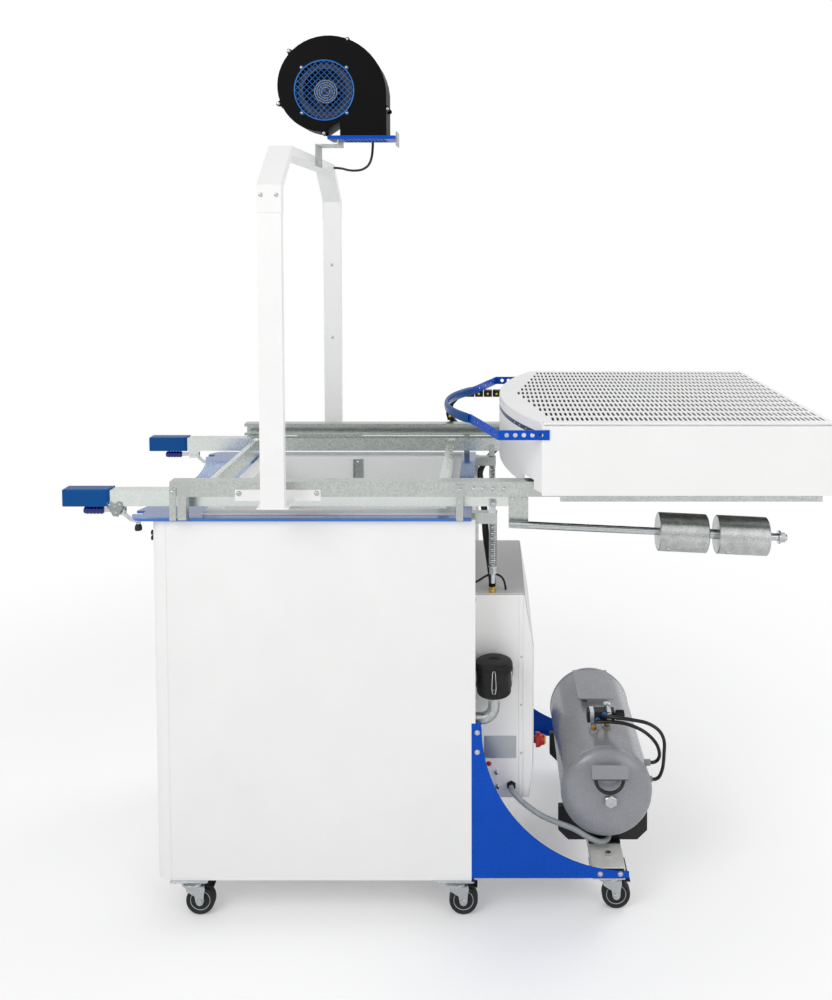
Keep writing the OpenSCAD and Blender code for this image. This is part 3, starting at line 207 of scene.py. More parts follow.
def ring_faces(rings, sides):
    """Faces that join a row of rings of points, and close its two ends."""
    faces = []
    for i in range(rings - 1):
        for k in range(sides):
            a, b = i * sides + k, i * sides + (k + 1) % sides
            faces.append((a, b, b + sides, a + sides))
    last = (rings - 1) * sides
    return faces + [tuple(range(sides))[::-1], tuple(last + k for k in range(sides))]


def on_body(made, body, replaces=None):
    """Seats a piece on a body and the solid that it stands for."""
    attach(made, body)
    if replaces:
        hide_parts(replaces)
    return made


class Piece:
    """The geometry of one piece, gathered in millimetres in the machine's frame."""

    def __init__(self):
        self.mesh = bmesh.new()
        self.materials = []

    def part(self, points, faces, material, scale=0.001):
        """Adds points and the smooth faces between them."""
        if material not in self.materials:
            self.materials.append(material)
        corners = [self.mesh.verts.new(Vector(p) * scale) for p in points]
        for face in faces:
            made = self.mesh.faces.new([corners[i] for i in face])
            made.material_index = self.materials.index(material)
            made.smooth = True

    def box(self, x, y, z, material, turn=None, about=None):
        """A block from its spans, turned by a matrix about a point."""
        points = [Vector((a, b, c)) for a in x for b in y for c in z]
        if turn is not None:
            centre = Vector(about) if about else Vector((sum(x), sum(y), sum(z))) / 2
            points = [turn @ (p - centre) + centre for p in points]
        faces = [(0, 1, 3, 2), (4, 6, 7, 5), (0, 4, 5, 1), (2, 3, 7, 6), (0, 2, 6, 4), (1, 5, 7, 3)]
        self.part(points, faces, material)

    def turned(self, profile, base, axis, material, sides=32):
        """A form turned from (radius, height) pairs; a third value makes that ring six-sided."""
        spin = Vector(upward).rotation_difference(Vector(axis))
        sixth = math.pi / 3
        points = []
        for radius, height, *flats in profile:
            for k in range(sides):
                a = 2 * math.pi * k / sides
                r = radius
                if flats:
                    r = radius * math.cos(sixth / 2) / math.cos(a % sixth - sixth / 2)
                points.append(spin @ Vector((r * math.cos(a), r * math.sin(a), height)) + Vector(base))
        self.part(points, ring_faces(len(profile), sides), material)

    def tube(self, line, radius, material, sides=12, scale=0.001):
        """A tube along a line of points; radius is one value or one for each point."""
        line = [Vector(p) for p in line]
        radii = radius if isinstance(radius, list) else [radius] * len(line)
        heading = (line[1] - line[0]).normalized()
        side = heading.orthogonal().normalized()
        points = []
        for i, centre in enumerate(line):
            ahead = (line[min(i + 1, len(line) - 1)] - line[max(i - 1, 0)]).normalized()
            side = heading.rotation_difference(ahead) @ side
            side = (side - side.dot(ahead) * ahead).normalized()
            heading = ahead
            other = ahead.cross(side)
            for k in range(sides):
                a = 2 * math.pi * k / sides
                points.append(centre + radii[i] * (math.cos(a) * side + math.sin(a) * other))
        self.part(points, ring_faces(len(line), sides), material, scale)

    def slab(self, outline, thick, corner, across, up, material):
        """A plate cut to an outline: its plane is given by a corner and two directions."""
        across, up = Vector(across), Vector(up)
        normal = across.cross(up).normalized()
        flat = [Vector(corner) + a * across + b * up for a, b in outline]
        count = len(flat)
        points = flat + [p + thick * normal for p in flat]
        faces = [tuple(range(count))[::-1], tuple(range(count, 2 * count))]
        faces += [(i, (i + 1) % count, (i + 1) % count + count, i + count) for i in range(count)]
        self.part(points, faces, material)

    def side_plate(self, outline, thick, x, material):
        """A plate square to the X axis, its outline given as (Y, Z) pairs."""
        self.slab(outline, thick, (x, 0, 0), to_back, upward, material)

    def mirrored(self):
        """Adds the left-hand twin of everything gathered so far."""
        right = self.mesh.verts[:] + self.mesh.edges[:] + self.mesh.faces[:]
        left = bmesh.ops.duplicate(self.mesh, geom=right)["geom"]
        for corner in left:
            if isinstance(corner, bmesh.types.BMVert):
                corner.co.x = -corner.co.x

    def done(self, name, body, slot, replaces=None, bevel=0, segments=2):
        """Turns the gathered geometry into a piece on a body, its edges eased by bevel mm."""
        bmesh.ops.recalc_face_normals(self.mesh, faces=self.mesh.faces)
        data = bpy.data.meshes.new(name)
        self.mesh.to_mesh(data)
        self.mesh.free()
        for material in self.materials:
            data.materials.append(material)
        made = new_object(name, data)
        data.set_sharp_from_angle(angle=crease)
        if bevel:
            eased = made.modifiers.new("eased_edges", "BEVEL")
            eased.width = bevel / 1000
            eased.segments = segments
            eased.limit_method = "ANGLE"
            eased.angle_limit = crease
            eased.use_clamp_overlap = True
        return on_body(made, body, replaces)


def threaded(points, steps):
    """A smooth line through given points, with so many steps from each to the next."""
    points = [Vector(p) for p in points]
    ends = [2 * points[0] - points[1], *points, 2 * points[-1] - points[-2]]
    line = []
    for i in range(1, len(ends) - 2):
        a, b, c, d = ends[i - 1:i + 3]
        for k in range(steps):
            t = k / steps
            line.append(0.5 * (2 * b + (c - a) * t + (2 * a - 5 * b + 4 * c - d) * t * t
                + (3 * b - a - 3 * c + d) * t ** 3))
    return line + [points[-1]]


def length_of(line):
    """A line's length along its points."""
    return sum((b - a).length for a, b in zip(line, line[1:]))


# Moulded textures, tool marks and the grain of a plated metal are finer than this view can show,
# so each is drawn as coarse as it needs to be to show: a grain of 0.6 to 3.5 mm.

# Extruded black rubber: matt, with a faint drift from handling.
cable_rubber = finish("extruded_black_rubber", "0E0E10", "080809", (0.42, 0.58), mottle=30, grain=0.8,
    bump=0.15, specular=0.35)
# Black polyurethane air hose: smooth and rather glossy.
air_hose = finish("extruded_black_polyurethane", "0A0B0C", "060607", (0.24, 0.32), mottle=40, grain=1.2,
    bump=0.05, depth=0.05)
# Grey reinforced PVC hose: satin, slightly cloudy.
suction_hose = finish("extruded_grey_pvc", "A3A9AD", "868C90", (0.28, 0.38), mottle=25, grain=2, bump=0.08)

# Each route runs in mm from the gland that it leaves, with its solid and its radius in mm.
routes = [
    ("fan_lead", "fan_cable", 4, cable_rubber, "black_rubber", [
        (-100, -236, 2195), (-110, -236, 2195), (-126, -238, 2176), (-160, -246, 2146),
        (-200, -262, 2124), (-240, -288, 2113), (-275, -318, 2112), (-305, -344, 2116),
        (-332, -364, 2122), (-350, -380, 2125), (-353, -390, 2126), (-353, -398, 2126)]),
    ("control_loom", "cable_loom", 10, cable_rubber, "black_rubber", [
        (280, 142, 900), (280, 142, 914), (278, 138, 945), (270, 132, 985),
        (240, 126, 1020), (180, 122, 1042), (100, 120, 1056), (10, 116, 1066),
        (-90, 112, 1073), (-190, 107, 1076), (-280, 103, 1076), (-345, 102, 1074),
        (-392, 108, 1082), (-428, 128, 1106), (-450, 162, 1138), (-458, 200, 1163),
        (-460, 214, 1179), (-460, 214, 1190)]),
    ("curled_lead", "cable_loom", 3, cable_rubber, "black_rubber", [
        (262, 180, 880), (262, 180, 892), (262, 172, 916), (262, 152, 928),
        (262, 128, 924), (262, 108, 912), (262, 95, 905), (262, 85, 905)]),
    ("upper_air_hose", "tank_hoses", 5, air_hose, "black_rubber", [
        (232, 470, 500), (242, 470, 500), (258, 500, 505), (268, 545, 503),
        (275, 590, 496), (279, 622, 476), (280, 636, 446), (280, 636, 408),
        (273, 635, 372), (266, 631, 346), (263, 624, 330), (262, 614, 324),
        (262, 606, 324)]),
    ("lower_air_hose", "tank_hoses", 5, air_hose, "black_rubber", [
        (232, 450, 484), (242, 450, 484), (250, 484, 488), (256, 526, 486),
        (262, 566, 474), (264, 594, 456), (262, 616, 430), (256, 626, 404),
        (247, 628, 382), (242, 622, 368), (240, 612, 362), (240, 604, 362)]),
    ("looped_air_hose", "tank_hoses", 5, air_hose, "black_rubber", [
        (364, 432, 383), (364, 432, 372), (368, 440, 358), (371, 454, 349),
        (372, 470, 346), (371, 486, 349), (368, 500, 358), (364, 508, 372),
        (364, 508, 383)]),
    ("suction_hose", "vacuum_hose", 7.5, suction_hose, "grey_rubber", [
        (305, 197, 325), (318, 197, 325), (330, 210, 314), (334, 240, 288),
        (335, 280, 260), (335, 325, 240), (335, 375, 220), (332, 415, 194),
        (322, 448, 175), (302, 470, 168), (284, 478, 167), (270, 478, 167)])]
conduit_ring = 0.003
conduit_groove = 0.0012
for name, node, radius, material, slot, points in routes:
    radius = radius / 1000
    points = [tuple(c / 1000 for c in p) for p in points]
    line, width = threaded(points, 8), radius
    if name == "control_loom":
        rings = round(length_of(line) / conduit_ring)
        line = threaded(points, round(2 * rings / (len(points) - 1)))
        width = [radius if i % 4 < 2 else radius - conduit_groove for i in range(len(line))]
    form = Piece()
    form.tube(line, width, material, sides=16, scale=1)
    lead = form.done(name, "base", slot, replaces=node)


# Cabinet and worktop: folded steel sheet, powder coated white, under a worktop of blue
# enamelled plate. The white liner of the forming well hangs in the worktop's opening.
def dress(material, *nodes):
    """Gives the machine's own solids their finish."""
    for node in nodes:
        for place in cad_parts[node].material_slots:
            place.material = material


# White powder coat: satin, with a fine orange peel and hardly any drift in colour.
powder_white = finish("powder_coat_white", "F7F7F6", "F0F0EF", (0.36, 0.46), mottle=220, grain=1.6, bump=0.12,
    depth=0.12, coat=(0.12, 0.25))
# The rear channel's white is the same paint, scuffed and greyed where the feet stand.
powder_scuffed = finish("powder_coat_scuffed", "E4E4E1", "C9C7C1", (0.38, 0.55), mottle=45, grain=2.5,
    bump=0.12, depth=0.12)
# Blue enamel on plate: glossy over a slight orange peel.
enamel_blue = finish("enamel_blue", "0050C4", "0047B0", (0.22, 0.32), mottle=160, grain=2.2, bump=0.06,
    depth=0.12, specular=0.16)
dress(powder_white, "cabinet", "well_liner", "arch", "hood_body")
dress(powder_scuffed, "cross_channel")
dress(enamel_blue, "gussets")
# The worktop's enamel is flatter and glossier, so it mirrors the room at a low angle, and its blue is drawn
# lighter than the gussets' as a painted reflection.
enamel_gloss_painted_reflection = finish("enamel_blue_with_painted_reflection", "0C6AC4", "085EB4", (0.16, 0.22), mottle=160, grain=4, bump=0.02,
    coat=(0.8, 0.08))
dress(enamel_gloss_painted_reflection, "worktop")


# Galvanised steel: strut rails, straps, posts and brackets. Hot zinc sets in spangles of some
# 5 mm, each with its own gloss.
galvanised = finish("hot_dip_galvanised_steel", "CBCFCC", "BABFBC", (0.31, 0.38), metallic=1, mottle=90,
    grain=5, bump=0.03, depth=0.05, cells=True)
# Zinc plate on screws, clips and springs: brighter and finer than hot zinc.
zinc_plate = finish("bright_zinc_plate", "D2D5D6", "B4B9BB", (0.12, 0.22), metallic=1, mottle=12, grain=1.2,
    bump=0.06, depth=0.05)
dress(galvanised, "slide_rails", "rail_posts", "fan_bracket", "hood_carriage")
# The clamp frame's box arms are newer: their zinc is paler and hardly spangled.
pale_zinc = finish("pale_galvanised_steel", "E2E7E3", "D7DDD9", (0.26, 0.33), metallic=1, mottle=120, grain=7,
    bump=0.02, depth=0.04, cells=True)
dress(pale_zinc, "clamp_frame")


# Screws: zinc-plated button heads with a hexagon socket, on a pressed washer. They hold the
# rails, straps, gussets and arch, and close the cabinet's back seam.
weld_gap = 0.00001


def grown(name, data, tree, inputs, body, replaces=None):
    """A piece grown on a mesh by a node tree, then made a plain mesh that rides on a body."""
    made = new_object(name, data)
    growth = made.modifiers.new("growth", "NODES")
    growth.node_group = tree
    for item in tree.interface.items_tree:
        if item.in_out == "INPUT" and item.name in inputs:
            growth[item.identifier] = inputs[item.name]
    graph = bpy.context.evaluated_depsgraph_get()
    made.data = bpy.data.meshes.new_from_object(made.evaluated_get(graph), depsgraph=graph)
    made.modifiers.clear()
    work = bmesh.new()
    work.from_mesh(made.data)
    bmesh.ops.remove_doubles(work, verts=work.verts, dist=weld_gap)
    bmesh.ops.recalc_face_normals(work, faces=work.faces)
    for face in work.faces:
        face.smooth = True
    work.to_mesh(made.data)
    work.free()
    made.data.set_sharp_from_angle(angle=crease)
    return on_body(made, body, replaces)


def new_tree(name, *inputs):
    """A geometry tree with its inputs, given as pairs of a name and a kind of socket."""
    tree = bpy.data.node_groups.new(name, "GeometryNodeTree")
    for label, kind in inputs:
        tree.interface.new_socket(label, in_out="INPUT", socket_type="NodeSocket" + kind)
    tree.interface.new_socket("Piece", in_out="OUTPUT", socket_type="NodeSocketGeometry")
    return tree, add_node(tree, "NodeGroupInput").outputs


def end_tree(tree, shape, material):
    """Ends a tree with its instances made real and its material set."""
    real = add_node(tree, "GeometryNodeRealizeInstances", {"Geometry": shape})
    coated = add_node(tree, "GeometryNodeSetMaterial", {"Geometry": real, "Material": material})
    add_node(tree, "NodeGroupOutput", {"Piece": coated})


def copying_tree(name, **aim):
    """A tree that puts copies of a form on points, each turned to its point's facing."""
    tree, given = new_tree(name, ("Places", "Geometry"), ("Copied", "Object"), ("Size", "Float"),
        ("Finish", "Material"))
    facing = add_node(tree, "GeometryNodeInputNamedAttribute", {"Name": "facing"}, data_type="FLOAT_VECTOR")
    turn = add_node(tree, "FunctionNodeAlignRotationToVector", {"Vector": facing}, **aim)
    source = add_node(tree, "GeometryNodeObjectInfo", {"Object": given["Copied"]}).outputs["Geometry"]
    placed = add_node(tree, "GeometryNodeInstanceOnPoints", {"Points": given["Places"], "Instance": source,
        "Rotation": turn, "Scale": given["Size"]})
    end_tree(tree, placed, given["Finish"])
    return tree


def pattern(form):
    """A form kept only to be copied."""
    data = bpy.data.meshes.new("copied_form")
    bmesh.ops.recalc_face_normals(form.mesh, faces=form.mesh.faces)
    form.mesh.to_mesh(data)
    form.mesh.free()
    return new_object("copied_form", data)


def head(profile, sides):
    """A fastener of 1 mm radius, kept only to be copied."""
    form = Piece()
    form.turned(profile, (0, 0, 0), upward, zinc_plate, sides)
    return pattern(form)


def copies(name, places, tree, copied, size, material, body, replaces=None):
    """Copies of a form at places in mm, each with the way that it faces."""
    data = bpy.data.meshes.new(name)
    data.from_pydata([Vector(p) / 1000 for p, _ in places], [], [])
    way = data.attributes.new("facing", "FLOAT_VECTOR", "POINT")
    way.data.foreach_set("vector", [c for _, f in places for c in f])
    return grown(name, data, tree, {"Copied": copied, "Size": float(size), "Finish": material}, body,
        replaces)


def fasten(name, places, radius, fastener, body="base", material=zinc_plate):
    """Fasteners of one radius at their places."""
    return copies(name, places, fastener_tree, fastener, radius, material, body)


def both(places):
    """Right-hand places, then their left-hand twins."""
    return places + [((-p[0], p[1], p[2]), (-f[0], f[1], f[2])) for p, f in places]


fastener_tree = copying_tree("fasteners_on_points", axis="Z")
button_head = head([(0.3, -0.2), (1.3, -0.2), (1.3, 0.12), (1, 0.16), (0.97, 0.4), (0.82, 0.66), (0.58, 0.8),
    (0.46, 0.8, 1), (0.42, 0.4, 1), (0.05, 0.36)], 24)
rail_face = 427
strap_face = 431
cabinet_face = 400
sleeve_face = 514.8
rail_bolts = [((rail_face, y, 1217), to_right) for y in (91, 116, 144, 173)]
rail_bolts += [((strap_face, y, z), to_right)
    for y, z in ((-537, 1206), (-328, 1206), (54.5, 1215), (-715, 1209))]
gusset_bolts = [((cabinet_face, y, z), to_right) for y, z in ((101, 478), (101, 533), (441, 132), (497, 132))]
arch_bolts = [((sleeve_face, y, 2000), to_right) for y in (-449, -409)]
arch_screws = [((-491, -430, z), to_right) for z in (1530, 1790)]
arch_screws += [((x, -394, 2119), to_back) for x in (-78, -6)]
back_seam = [((390, 96, z), to_back) for z in (620, 760, 900, 1040)]
fasten("rail_bolts", both(rail_bolts + gusset_bolts), 5.6, button_head)
fasten("arch_bolts", both(arch_bolts), 6.4, button_head)
fasten("arch_screws", arch_screws, 4, button_head)
fasten("back_seam_screws", both(back_seam), 3.4, button_head)


# Castor plates and the well's catch: the plates are bolted under the cabinet's floor, and
# the catch is a bent bracket with a round knob on the far wall of the well.
castors = [(365, -696), (365, 40), (340, 470), (-365, -696), (-365, 40), (-340, 470)]
plate_x, plate_y = 42.5, 52
bolt_x, bolt_y = 32, 40
plates = Piece()
for x, y in castors:
    plates.box((x - plate_x, x + plate_x), (y - plate_y, y + plate_y), (110, 114), zinc_plate)
    for dx, dy in ((-bolt_x, -bolt_y), (bolt_x, -bolt_y), (-bolt_x, bolt_y), (bolt_x, bolt_y)):
        plates.turned([(6.5, 0, 1), (6.5, -4, 1), (4, -5.4)], (x + dx, y + dy, 110), upward, zinc_plate, 12)
plates.box((-323, -320), (-334, -300), (1055, 1128), galvanised)
plates.box((-323, -309), (-334, -300), (1055, 1058), galvanised)
plates.box((-323, -309), (-334, -331), (1055, 1128), galvanised)
plates.turned([(3, 0), (3, 3), (6, 4), (6, 10), (5, 11)], (-320, -317, 1116), to_right, zinc_plate, 20)
plates.done("castor_plates_and_catch", "base", "galvanised", replaces="fasteners", bevel=0.8)


# Push buttons: two knobs moulded in black nylon, on plungers that slide in collars on the
# cabinet's front edge.

# Moulded black nylon: matt, with a fine spark-eroded texture.
nylon_black = finish("moulded_black_nylon", "0C0C0D", "060607", (0.4, 0.55), mottle=20, grain=0.6, bump=0.15,
    depth=0.06, specular=0.35)
for label, z in (("upper", 1070), ("lower", 1055)):
    knob = Piece()
    knob.turned([(6, 20), (6, -5), (6.6, -6), (6.9, -8), (6.9, -15), (6.2, -17.4), (4.5, -18)],
        (330, -790, z), to_back, nylon_black, 28)
    knob.done("front_button_%s_knob" % label, "button_" + label, "black_plastic",
        replaces="front_button_" + label)


# Rail ends: plugs moulded in black nylon, one pressed into the rear end of each slide rail's
# strut to close it.
plugs = Piece()
for x in (-406.5, 406.5):
    plugs.box((x - 19, x + 19), (1000, 1003), (1197, 1236), nylon_black)
plugs.done("rail_end_plugs", "base", "black_plastic", bevel=1)


# Arch: two legs and a beam of folded white channel. The sloping shoulders slide into the
# legs' tops, where a sleeve laps them and two bolts go through.
sleeves = Piece()
sleeves.box((514, 518), (-461.5, -396.5), (1955, 2026), powder_white)
sleeves.box((489, 515), (-461.5, -459), (1955, 2020), powder_white)
sleeves.box((489, 515), (-399, -396.5), (1955, 2020), powder_white)
sleeves.mirrored()
sleeves.done("arch_sleeves", "base", "white_paint", bevel=0.8)


# Hood lid: white sheet with rows of heat slots punched right through over the heater tray. Each
# row starts further back the nearer it is to the sides, because the nose is curved.
end_share = 0.49
tree, given = new_tree("slotted_sheet", ("Outline", "Geometry"), ("Rows", "Int"), ("Row Pitch", "Float"),
    ("Slot Pitch", "Float"), ("Slot Length", "Float"), ("Slot Width", "Float"), ("First", "Float"),
    ("Last", "Float"), ("Thickness", "Float"), ("Finish", "Material"))
outer_row = add_node(tree, "ShaderNodeMath", {0: given["Rows"], 1: given["Row Pitch"]}, operation="MULTIPLY")
first_spot = add_node(tree, "ShaderNodeCombineXYZ", {"X": outer_row, "Y": given["First"]})
row_count = add_node(tree, "ShaderNodeMath", {0: given["Rows"], 1: 2, 2: 1}, operation="MULTIPLY_ADD")
inward = add_node(tree, "ShaderNodeMath", {0: given["Row Pitch"], 1: -1}, operation="MULTIPLY")
row_step = add_node(tree, "ShaderNodeCombineXYZ", {"X": inward})
row_line = add_node(tree, "GeometryNodeMeshLine", {"Count": row_count, "Start Location": first_spot,
    "Offset": row_step})
run = add_node(tree, "ShaderNodeMath", {0: given["Last"], 1: given["First"]}, operation="SUBTRACT")
pitches = add_node(tree, "ShaderNodeMath", {0: run, 1: given["Slot Pitch"]}, operation="DIVIDE")
whole_pitches = add_node(tree, "ShaderNodeMath", {0: pitches}, operation="FLOOR")
slot_count = add_node(tree, "ShaderNodeMath", {0: whole_pitches, 1: 1}, operation="ADD")
slot_step = add_node(tree, "ShaderNodeCombineXYZ", {"Y": given["Slot Pitch"]})
slot_line = add_node(tree, "GeometryNodeMeshLine", {"Count": slot_count, "Offset": slot_step})
grid = add_node(tree, "GeometryNodeInstanceOnPoints", {"Points": row_line, "Instance": slot_line})
spots = add_node(tree, "GeometryNodeRealizeInstances", {"Geometry": grid})
spot = add_node(tree, "GeometryNodeInputPosition")
at = add_node(tree, "ShaderNodeSeparateXYZ", {"Vector": spot}).outputs
row = add_node(tree, "ShaderNodeMath", {0: at["X"], 1: given["Row Pitch"]}, operation="DIVIDE")
row_number = add_node(tree, "ShaderNodeMath", {0: row}, operation="ABSOLUTE")
set_back = add_node(tree, "ShaderNodeMath", {0: row_number, 1: given["Slot Pitch"]}, operation="MULTIPLY")
shift = add_node(tree, "ShaderNodeCombineXYZ", {"Y": set_back})
moved = add_node(tree, "GeometryNodeSetPosition", {"Geometry": spots, "Offset": shift})
past_last = add_node(tree, "ShaderNodeMath", {0: at["Y"], 1: given["Last"]}, operation="GREATER_THAN")
held = add_node(tree, "GeometryNodeDeleteGeometry", {"Geometry": moved, "Selection": past_last})
slot_curve = add_node(tree, "GeometryNodeCurvePrimitiveQuadrilateral", {"Width": given["Slot Length"],
    "Height": given["Slot Width"]})
slot_end = add_node(tree, "ShaderNodeMath", {0: given["Slot Width"], 1: end_share}, operation="MULTIPLY")
rounded = add_node(tree, "GeometryNodeFilletCurve", {"Curve": slot_curve, "Count": 2, "Radius": slot_end},
    mode="POLY")
slots = add_node(tree, "GeometryNodeInstanceOnPoints", {"Points": held, "Instance": rounded})
slot_edges = add_node(tree, "GeometryNodeRealizeInstances", {"Geometry": slots})
rim_line = add_node(tree, "GeometryNodeMeshToCurve", {"Mesh": given["Outline"]})
edges = add_node(tree, "GeometryNodeJoinGeometry")
for curve in (slot_edges, rim_line):
    tree.links.new(curve.outputs[0], edges.inputs["Geometry"])
sheet = add_node(tree, "GeometryNodeFillCurve", {"Curve": edges})
thick = add_node(tree, "GeometryNodeExtrudeMesh", {"Mesh": sheet, "Offset Scale": given["Thickness"],
    "Individual": False})
under = add_node(tree, "GeometryNodeFlipFaces", {"Mesh": sheet})
closed = add_node(tree, "GeometryNodeJoinGeometry")
for skin in (thick, under):
    tree.links.new(skin.outputs[0], closed.inputs["Geometry"])
end_tree(tree, closed, given["Finish"])

hood_half = 484
hood_back = 1038
nose_y = 165
nose_r = 1148.2
fold_r = 5
lid_under = 1.406


def nose_line(inset, steps=40):
    """The hood's plan along its curved nose, from one side to the other."""
    reach = math.asin(hood_half / nose_r)
    line = []
    for i in range(steps + 1):
        a = -reach + 2 * reach * i / steps
        line.append(((nose_r - inset) * math.sin(a) * (hood_half - inset) / hood_half,
            nose_y + nose_r - (nose_r - inset) * math.cos(a)))
    return line


edge = nose_line(fold_r)
corners = [(x, y, 0) for x, y in edge]
corners += [(hood_half - fold_r, hood_back - 4, 0), (fold_r - hood_half, hood_back - 4, 0)]
lid_outline = bpy.data.meshes.new("hood_lid_sheet")
lid_outline.from_pydata([Vector(p) / 1000 for p in corners],
    [(i, (i + 1) % len(corners)) for i in range(len(corners))], [])
lid = grown("hood_lid_sheet", lid_outline, tree, {"Rows": 6, "Row Pitch": 0.072, "Slot Pitch": 0.01304,
    "Slot Length": 0.050, "Slot Width": 0.0068, "First": 0.225, "Last": 1.022, "Thickness": 0.002,
    "Finish": powder_white}, "hood", replaces="hood_lid")
for corner in lid.data.vertices:
    corner.co.z += lid_under


# Lid's rolled edge: the sheet bends down over a radius along the sides and over the nose, where
# the skirt hangs 28 mm and ends in a hem.
rim = Piece()


def rolled(profile, line, material):
    """A folded edge: a profile of (outward, height) carried along a plan line."""
    points = []
    for i, (x, y) in enumerate(line):
        ahead = Vector(line[min(i + 1, len(line) - 1)]) - Vector(line[max(i - 1, 0)])
        side = Vector((ahead.y, -ahead.x)).normalized()
        points += [(x + side.x * o, y + side.y * o, h) for o, h in profile]
    rim.part(points, ring_faces(len(line), len(profile)), material)


lid_top = 1408.2
fold_z = lid_top - fold_r
sheet_t = 2
skirt = 1380
side_hem = 1398
quarter = [(math.sin(a), math.cos(a)) for a in (math.pi / 2 * k / 5 for k in range(6))]
outer = [(fold_r * s, fold_z + fold_r * c) for s, c in quarter]
inner = [((fold_r - sheet_t) * s, fold_z + (fold_r - sheet_t) * c) for s, c in quarter][::-1]
rolled(outer + [(fold_r, skirt), (fold_r - sheet_t, skirt)] + inner, edge, powder_white)
for side in (-1, 1):
    x = side * (hood_half - fold_r)
    line = [(x, edge[0][1]), (x, hood_back)][::side]
    rolled(outer + [(fold_r, side_hem), (fold_r - sheet_t, side_hem)] + inner, line, powder_white)
rim.box((-hood_half + 1, hood_half - 1), (hood_back - 5, hood_back - 0.5), (1396, lid_top - 0.6),
    powder_white)
rim.done("hood_lid_rim", "hood", "white_paint")


# Band: a strip of sheet that hangs under the skirt, painted dark blue and held by blind rivets
# with pale heads near its ends. Its navy is drawn very dark, as painted shade for the gap under the skirt.
# Satin navy paint, darkened with painted shade: a soft sheen over a faint orange peel.
band_navy_painted_shade = finish("satin_navy_with_painted_shade", "06225F", "041B50", (0.3, 0.42), mottle=90, grain=1.8)
dress(band_navy_painted_shade, "hood_band")
# Ivory nylon on the rivets' heads: smooth, with a soft sheen.
pale_plastic = finish("ivory_nylon", "DAD7CC", "CBC8BC", (0.35, 0.5), mottle=15, grain=1)
rivets = [((x, nose_y + nose_r - math.sqrt(nose_r ** 2 - x * x) + 0.4, 1374), to_front)
    for x in (300, 345, 390, 435, 465)]
fasten("band_rivets", both(rivets), 2.2, button_head, "hood", pale_plastic)


# Hood's inside: screws hold galvanised strips along the bottom edge, the tray is heat-darkened
# steel under a lining of the same, and the elements are frosted quartz tubes.
strip_screws = [((482.2, y, 1207), to_right) for y in (340, 634, 960)]
fasten("hood_strip_screws", both(strip_screws), 3.6, button_head, "hood")
# Heat-darkened steel: nearly black and matt, with scale in faint blotches.
scorched = finish("heat_darkened_steel", "161514", "0C0B0B", (0.55, 0.75), mottle=110, grain=3)
# Frosted quartz: milky, so it lets light through but shows no image.
quartz = finish("frosted_quartz", "E8E4DC", "D5CFC4", (0.2, 0.32), mottle=40, grain=2, clear=0.25)
dress(scorched, "heater_tray")
lining = Piece()
lining.slab([*nose_line(14), (455, 1030), (-455, 1030)], 1.5, (0, 0, 1398.5), to_right, to_back, scorched)
lining.done("hood_lining", "hood", "galvanised", bevel=0.4)
dress(quartz, "heater_elements")


# Pull handle: blue enamelled bar with punched lightening holes, bent round the nose, and a
# vinyl tube slipped over the middle of the bow.
bow_half = 256
bow_depth = 80
bow_r = (bow_half ** 2 + bow_depth ** 2) / (2 * bow_depth)
sleeve_half = 250
bar_half_t = 1.5
handle_z = 1375
steps = 36
sides = 20
# Dipped vinyl: a rubbery sheen over the slight waves that the dip leaves.
vinyl_blue = finish("dipped_blue_vinyl", "004F94", "004684", (0.22, 0.34), mottle=70, grain=2.5, bump=0.08,
    depth=0.12, specular=0.14)
dress(enamel_blue, "hood_handle")
oval = [(7.0 * math.cos(a), 14.5 * math.sin(a)) for a in (2 * math.pi * k / sides for k in range(sides))]
grip = []
for i in range(steps + 1):
    a = math.asin(sleeve_half / bow_r) * (i / (steps / 2) - 1)
    grip.append(Vector(((bow_r + bar_half_t) * math.sin(a), bow_r - (bow_r - bar_half_t) * math.cos(a),
        handle_z)))
points = []
for i, middle in enumerate(grip):
    ahead = (grip[min(i + 1, steps)] - grip[max(i - 1, 0)]).normalized()
    side = Vector((ahead.y, -ahead.x, 0))
    shrink = 0.82 if i in (0, steps) else 1
    points += [middle + side * u * shrink + Vector((0, 0, v * shrink)) for u, v in oval]
sleeve = Piece()
sleeve.part(points, ring_faces(steps + 1, sides), vinyl_blue)
sleeve.done("handle_sleeve", "hood", "blue_grip")


# Energy chain: moulded black nylon links, some 32 mm apart, each pinned to the next by a yellow
# stud, running in a loop from the rail to the hood.
chain_x = -460
chain_y = 55
chain_mid = 1269
chain_r = 64
chain_end = 270
link_pitch = 30.5
straight = chain_end - chain_y
bend = math.pi * chain_r
whole = 2 * straight + bend
count = int(whole / link_pitch)
places = []
for i in range(count):
    s = (i + 0.5) * whole / count
    if s < straight:
        p, way = (chain_x, chain_end - s, chain_mid + chain_r), to_front
    elif s > straight + bend:
        p, way = (chain_x, chain_y + s - straight - bend, chain_mid - chain_r), to_back
    else:
        a = (s - straight) / chain_r
        p = (chain_x, chain_y - chain_r * math.sin(a), chain_mid + chain_r * math.cos(a))
        way = (0, -math.cos(a), -math.sin(a))
    places.append((p, way))
form = Piece()
for x in ((-16, -12.5), (12.5, 16)):
    form.box(x, (-15, 13.4), (-11, 11), nylon_black)
form.box((-12.6, 12.6), (-11, 5), (8, 10.5), nylon_black)
form.box((-12.6, 12.6), (-11, 5), (-10.5, -8), nylon_black)
form.box((16, 16.9), (-8, 6), (-6, 6), nylon_black)
form.box((-13, 13), (4, 14.5), (-6.5, 6.5), nylon_black)
chain_link = pattern(form)
link_tree = copying_tree("chain_links_on_points", axis="Y", pivot_axis="X")
copies("energy_chain_links", places, link_tree, chain_link, 1, nylon_black, "chain",
    replaces="energy_chain")
